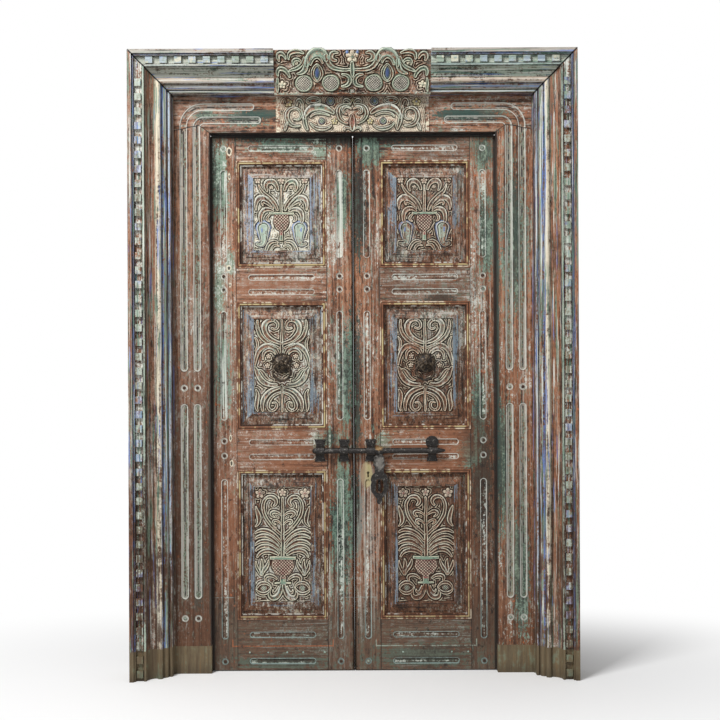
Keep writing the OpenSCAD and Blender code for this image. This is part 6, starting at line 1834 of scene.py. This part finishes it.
def finish_of(name: str) -> str:
    """The finish of a CAD node, by its name."""
    ends = (("_ring", "pull"), ("_rosette", "pull"), ("_beads", "bead"), ("pegs", "peg"),
            ("_panel", "carved_left"), ("crest_block", "carved_head"), ("head_board", "carved_head"),
            ("_stile", "leaf_upright"), ("_rail", "leaf_level"))
    if name == "head_rail":
        return "head"
    if "foot" in name:
        return "repair"
    if name.startswith("jamb_") and name != "jamb_pegs":
        return "jamb"
    if name == "architrave_head":
        return "arch_level"
    if name.startswith("architrave"):
        return "arch_upright"
    for end, key in ends:
        if name.endswith(end):
            return key
    return "iron"


class Studio:
    """Pale floor, soft light and the photograph's camera."""

    LENS = 61.2
    DISTANCE = 4.2
    EYE = 1.066
    SHIFT_X = 0.009
    ROLL = math.radians(0.25)

    def camera(self) -> None:
        """Sets the camera square to the door."""
        data = bpy.data.cameras.new("camera")
        data.lens = self.LENS
        data.sensor_width = 36.0
        data.shift_x = self.SHIFT_X
        data.clip_end = 200.0
        made = bpy.data.objects.new("camera", data)
        bpy.context.scene.collection.objects.link(made)
        turn = Matrix.Rotation(self.ROLL, 4, "Y") @ Matrix.Rotation(math.pi / 2, 4, "X")
        made.matrix_world = Matrix.Translation((0, PLAN.y_leaf - self.DISTANCE, self.EYE)) @ turn
        bpy.context.scene.camera = made

    def lamp(self, name: str, spot: tuple[float, float, float], size: float, power: float) -> None:
        """Adds a square soft light that looks at the middle of the door."""
        data = bpy.data.lights.new(name, "AREA")
        data.size = size
        data.energy = power
        made = bpy.data.objects.new(name, data)
        bpy.context.scene.collection.objects.link(made)
        made.location = spot
        made.rotation_euler = (Vector((0, 0, 1.05)) - Vector(spot)).to_track_quat("-Z", "Y").to_euler()

    def world(self) -> None:
        """Soft even light, and white to the camera and in reflections."""
        sky = bpy.data.worlds.new("studio")
        bpy.context.scene.world = sky
        sky.use_nodes = True
        tree = sky.node_tree
        tree.nodes.clear()
        path = tree.nodes.new("ShaderNodeLightPath")
        seen = tree.nodes.new("ShaderNodeMath")
        seen.operation = "MAXIMUM"
        tree.links.new(seen.inputs[0], path.outputs["Is Camera Ray"])
        either = tree.nodes.new("ShaderNodeMath")
        either.operation = "MAXIMUM"
        tree.links.new(either.inputs[0], path.outputs["Is Glossy Ray"])
        tree.links.new(either.inputs[1], path.outputs["Is Transmission Ray"])
        tree.links.new(seen.inputs[1], either.outputs[0])
        strength = tree.nodes.new("ShaderNodeMapRange")
        tree.links.new(strength.inputs[0], seen.outputs[0])
        strength.inputs[3].default_value = 0.36
        strength.inputs[4].default_value = 1.0
        back = tree.nodes.new("ShaderNodeBackground")
        tree.links.new(back.inputs["Strength"], strength.outputs[0])
        out = tree.nodes.new("ShaderNodeOutputWorld")
        tree.links.new(out.inputs[0], back.outputs[0])
        back.inputs["Color"].default_value = (1, 1, 1, 1)

    def floor(self) -> None:
        """A pale floor that fades to white away from the door."""
        shade = Shade("floor")
        mesh = bpy.data.meshes.new("floor")
        reach = 40.0
        mesh.from_pydata([(-reach, -reach, 0), (reach, -reach, 0), (reach, reach, 0), (-reach, reach, 0)], [],
                         [(0, 1, 2, 3)])
        plain = shade.node("ShaderNodeBsdfDiffuse")
        plain.inputs[0].default_value = (0.9, 0.9, 0.9, 1)
        glow = shade.node("ShaderNodeEmission")
        path = shade.node("ShaderNodeLightPath")
        far = shade.length(shade.x * 0.6, shade.y).rise(0.3, 1.3) * Num(shade, path.outputs["Is Camera Ray"])
        mix = shade.node("ShaderNodeMixShader")
        shade.feed(mix.inputs[0], far)
        shade.tree.links.new(mix.inputs[1], plain.outputs[0])
        shade.tree.links.new(mix.inputs[2], glow.outputs[0])
        out = shade.node("ShaderNodeOutputMaterial")
        shade.tree.links.new(out.inputs[0], mix.outputs[0])
        mesh.materials.append(shade.material)
        place("floor", mesh)

    def build(self) -> None:
        """Sets floor, light and camera."""
        bpy.context.scene.view_settings.view_transform = "Standard"
        self.world()
        self.floor()
        self.lamp("key", (-2.0, -3.0, 4.3), 1.5, 250)
        self.camera()


def finishes() -> dict[str, bpy.types.Material]:
    """Makes every finish once."""
    return {
        "leaf_upright": LeafWood("leaf_upright_wood", Axis.Z).build(),
        "leaf_level": LeafWood("leaf_level_wood", Axis.X).build(),
        "jamb": JambWood("jamb_wood", Axis.Z).build(),
        "head": JambWood("head_wood", Axis.X).build(),
        "arch_upright": ArchitraveWood("architrave_upright_wood", Axis.Z).build(),
        "arch_level": ArchitraveWood("architrave_level_wood", Axis.X).build(),
        "repair": RepairWood("repair_wood", Axis.Z).build(),
        "bead": BeadWood("bead_wood").build(),
        "peg": PegWood("peg_wood", Paint.WOOD_BLACK, Paint.WOOD_DEEP).build(),
        "plug": PegWood("plug_wood", Paint.SAGE, Paint.ICE).build(),
        "iron": OldIron("forged_iron", Paint.IRON, Paint.RUST, 0.3).build(),
        "pull": OldIron("pull_iron", Paint.BRONZE, Paint.BRASS, 0.5).build(),
        "carved_left": CarvedPaint("carved_paint_left", 0.0, 0.75, 0.05).build(),
        "carved_right": CarvedPaint("carved_paint_right", 0.5, 0.6, 0.42).build(),
        "carved_head": CarvedPaint("carved_paint_head", 0.1, 0.5, 0.1, Axis.X).build(),
    }


def main() -> None:
    """Builds the looks of the whole door."""
    logging.basicConfig(level=logging.INFO)
    materials = finishes()
    dress_cad(materials)
    Studio().build()
    for side in (-1, 1):
        PanelSet(side).build(materials)
    head = HeadCarvings()
    head.crest(materials["carved_head"])
    head.board(materials["carved_head"])
    Studs().build(materials)


if __name__ == "__main__":
    main()
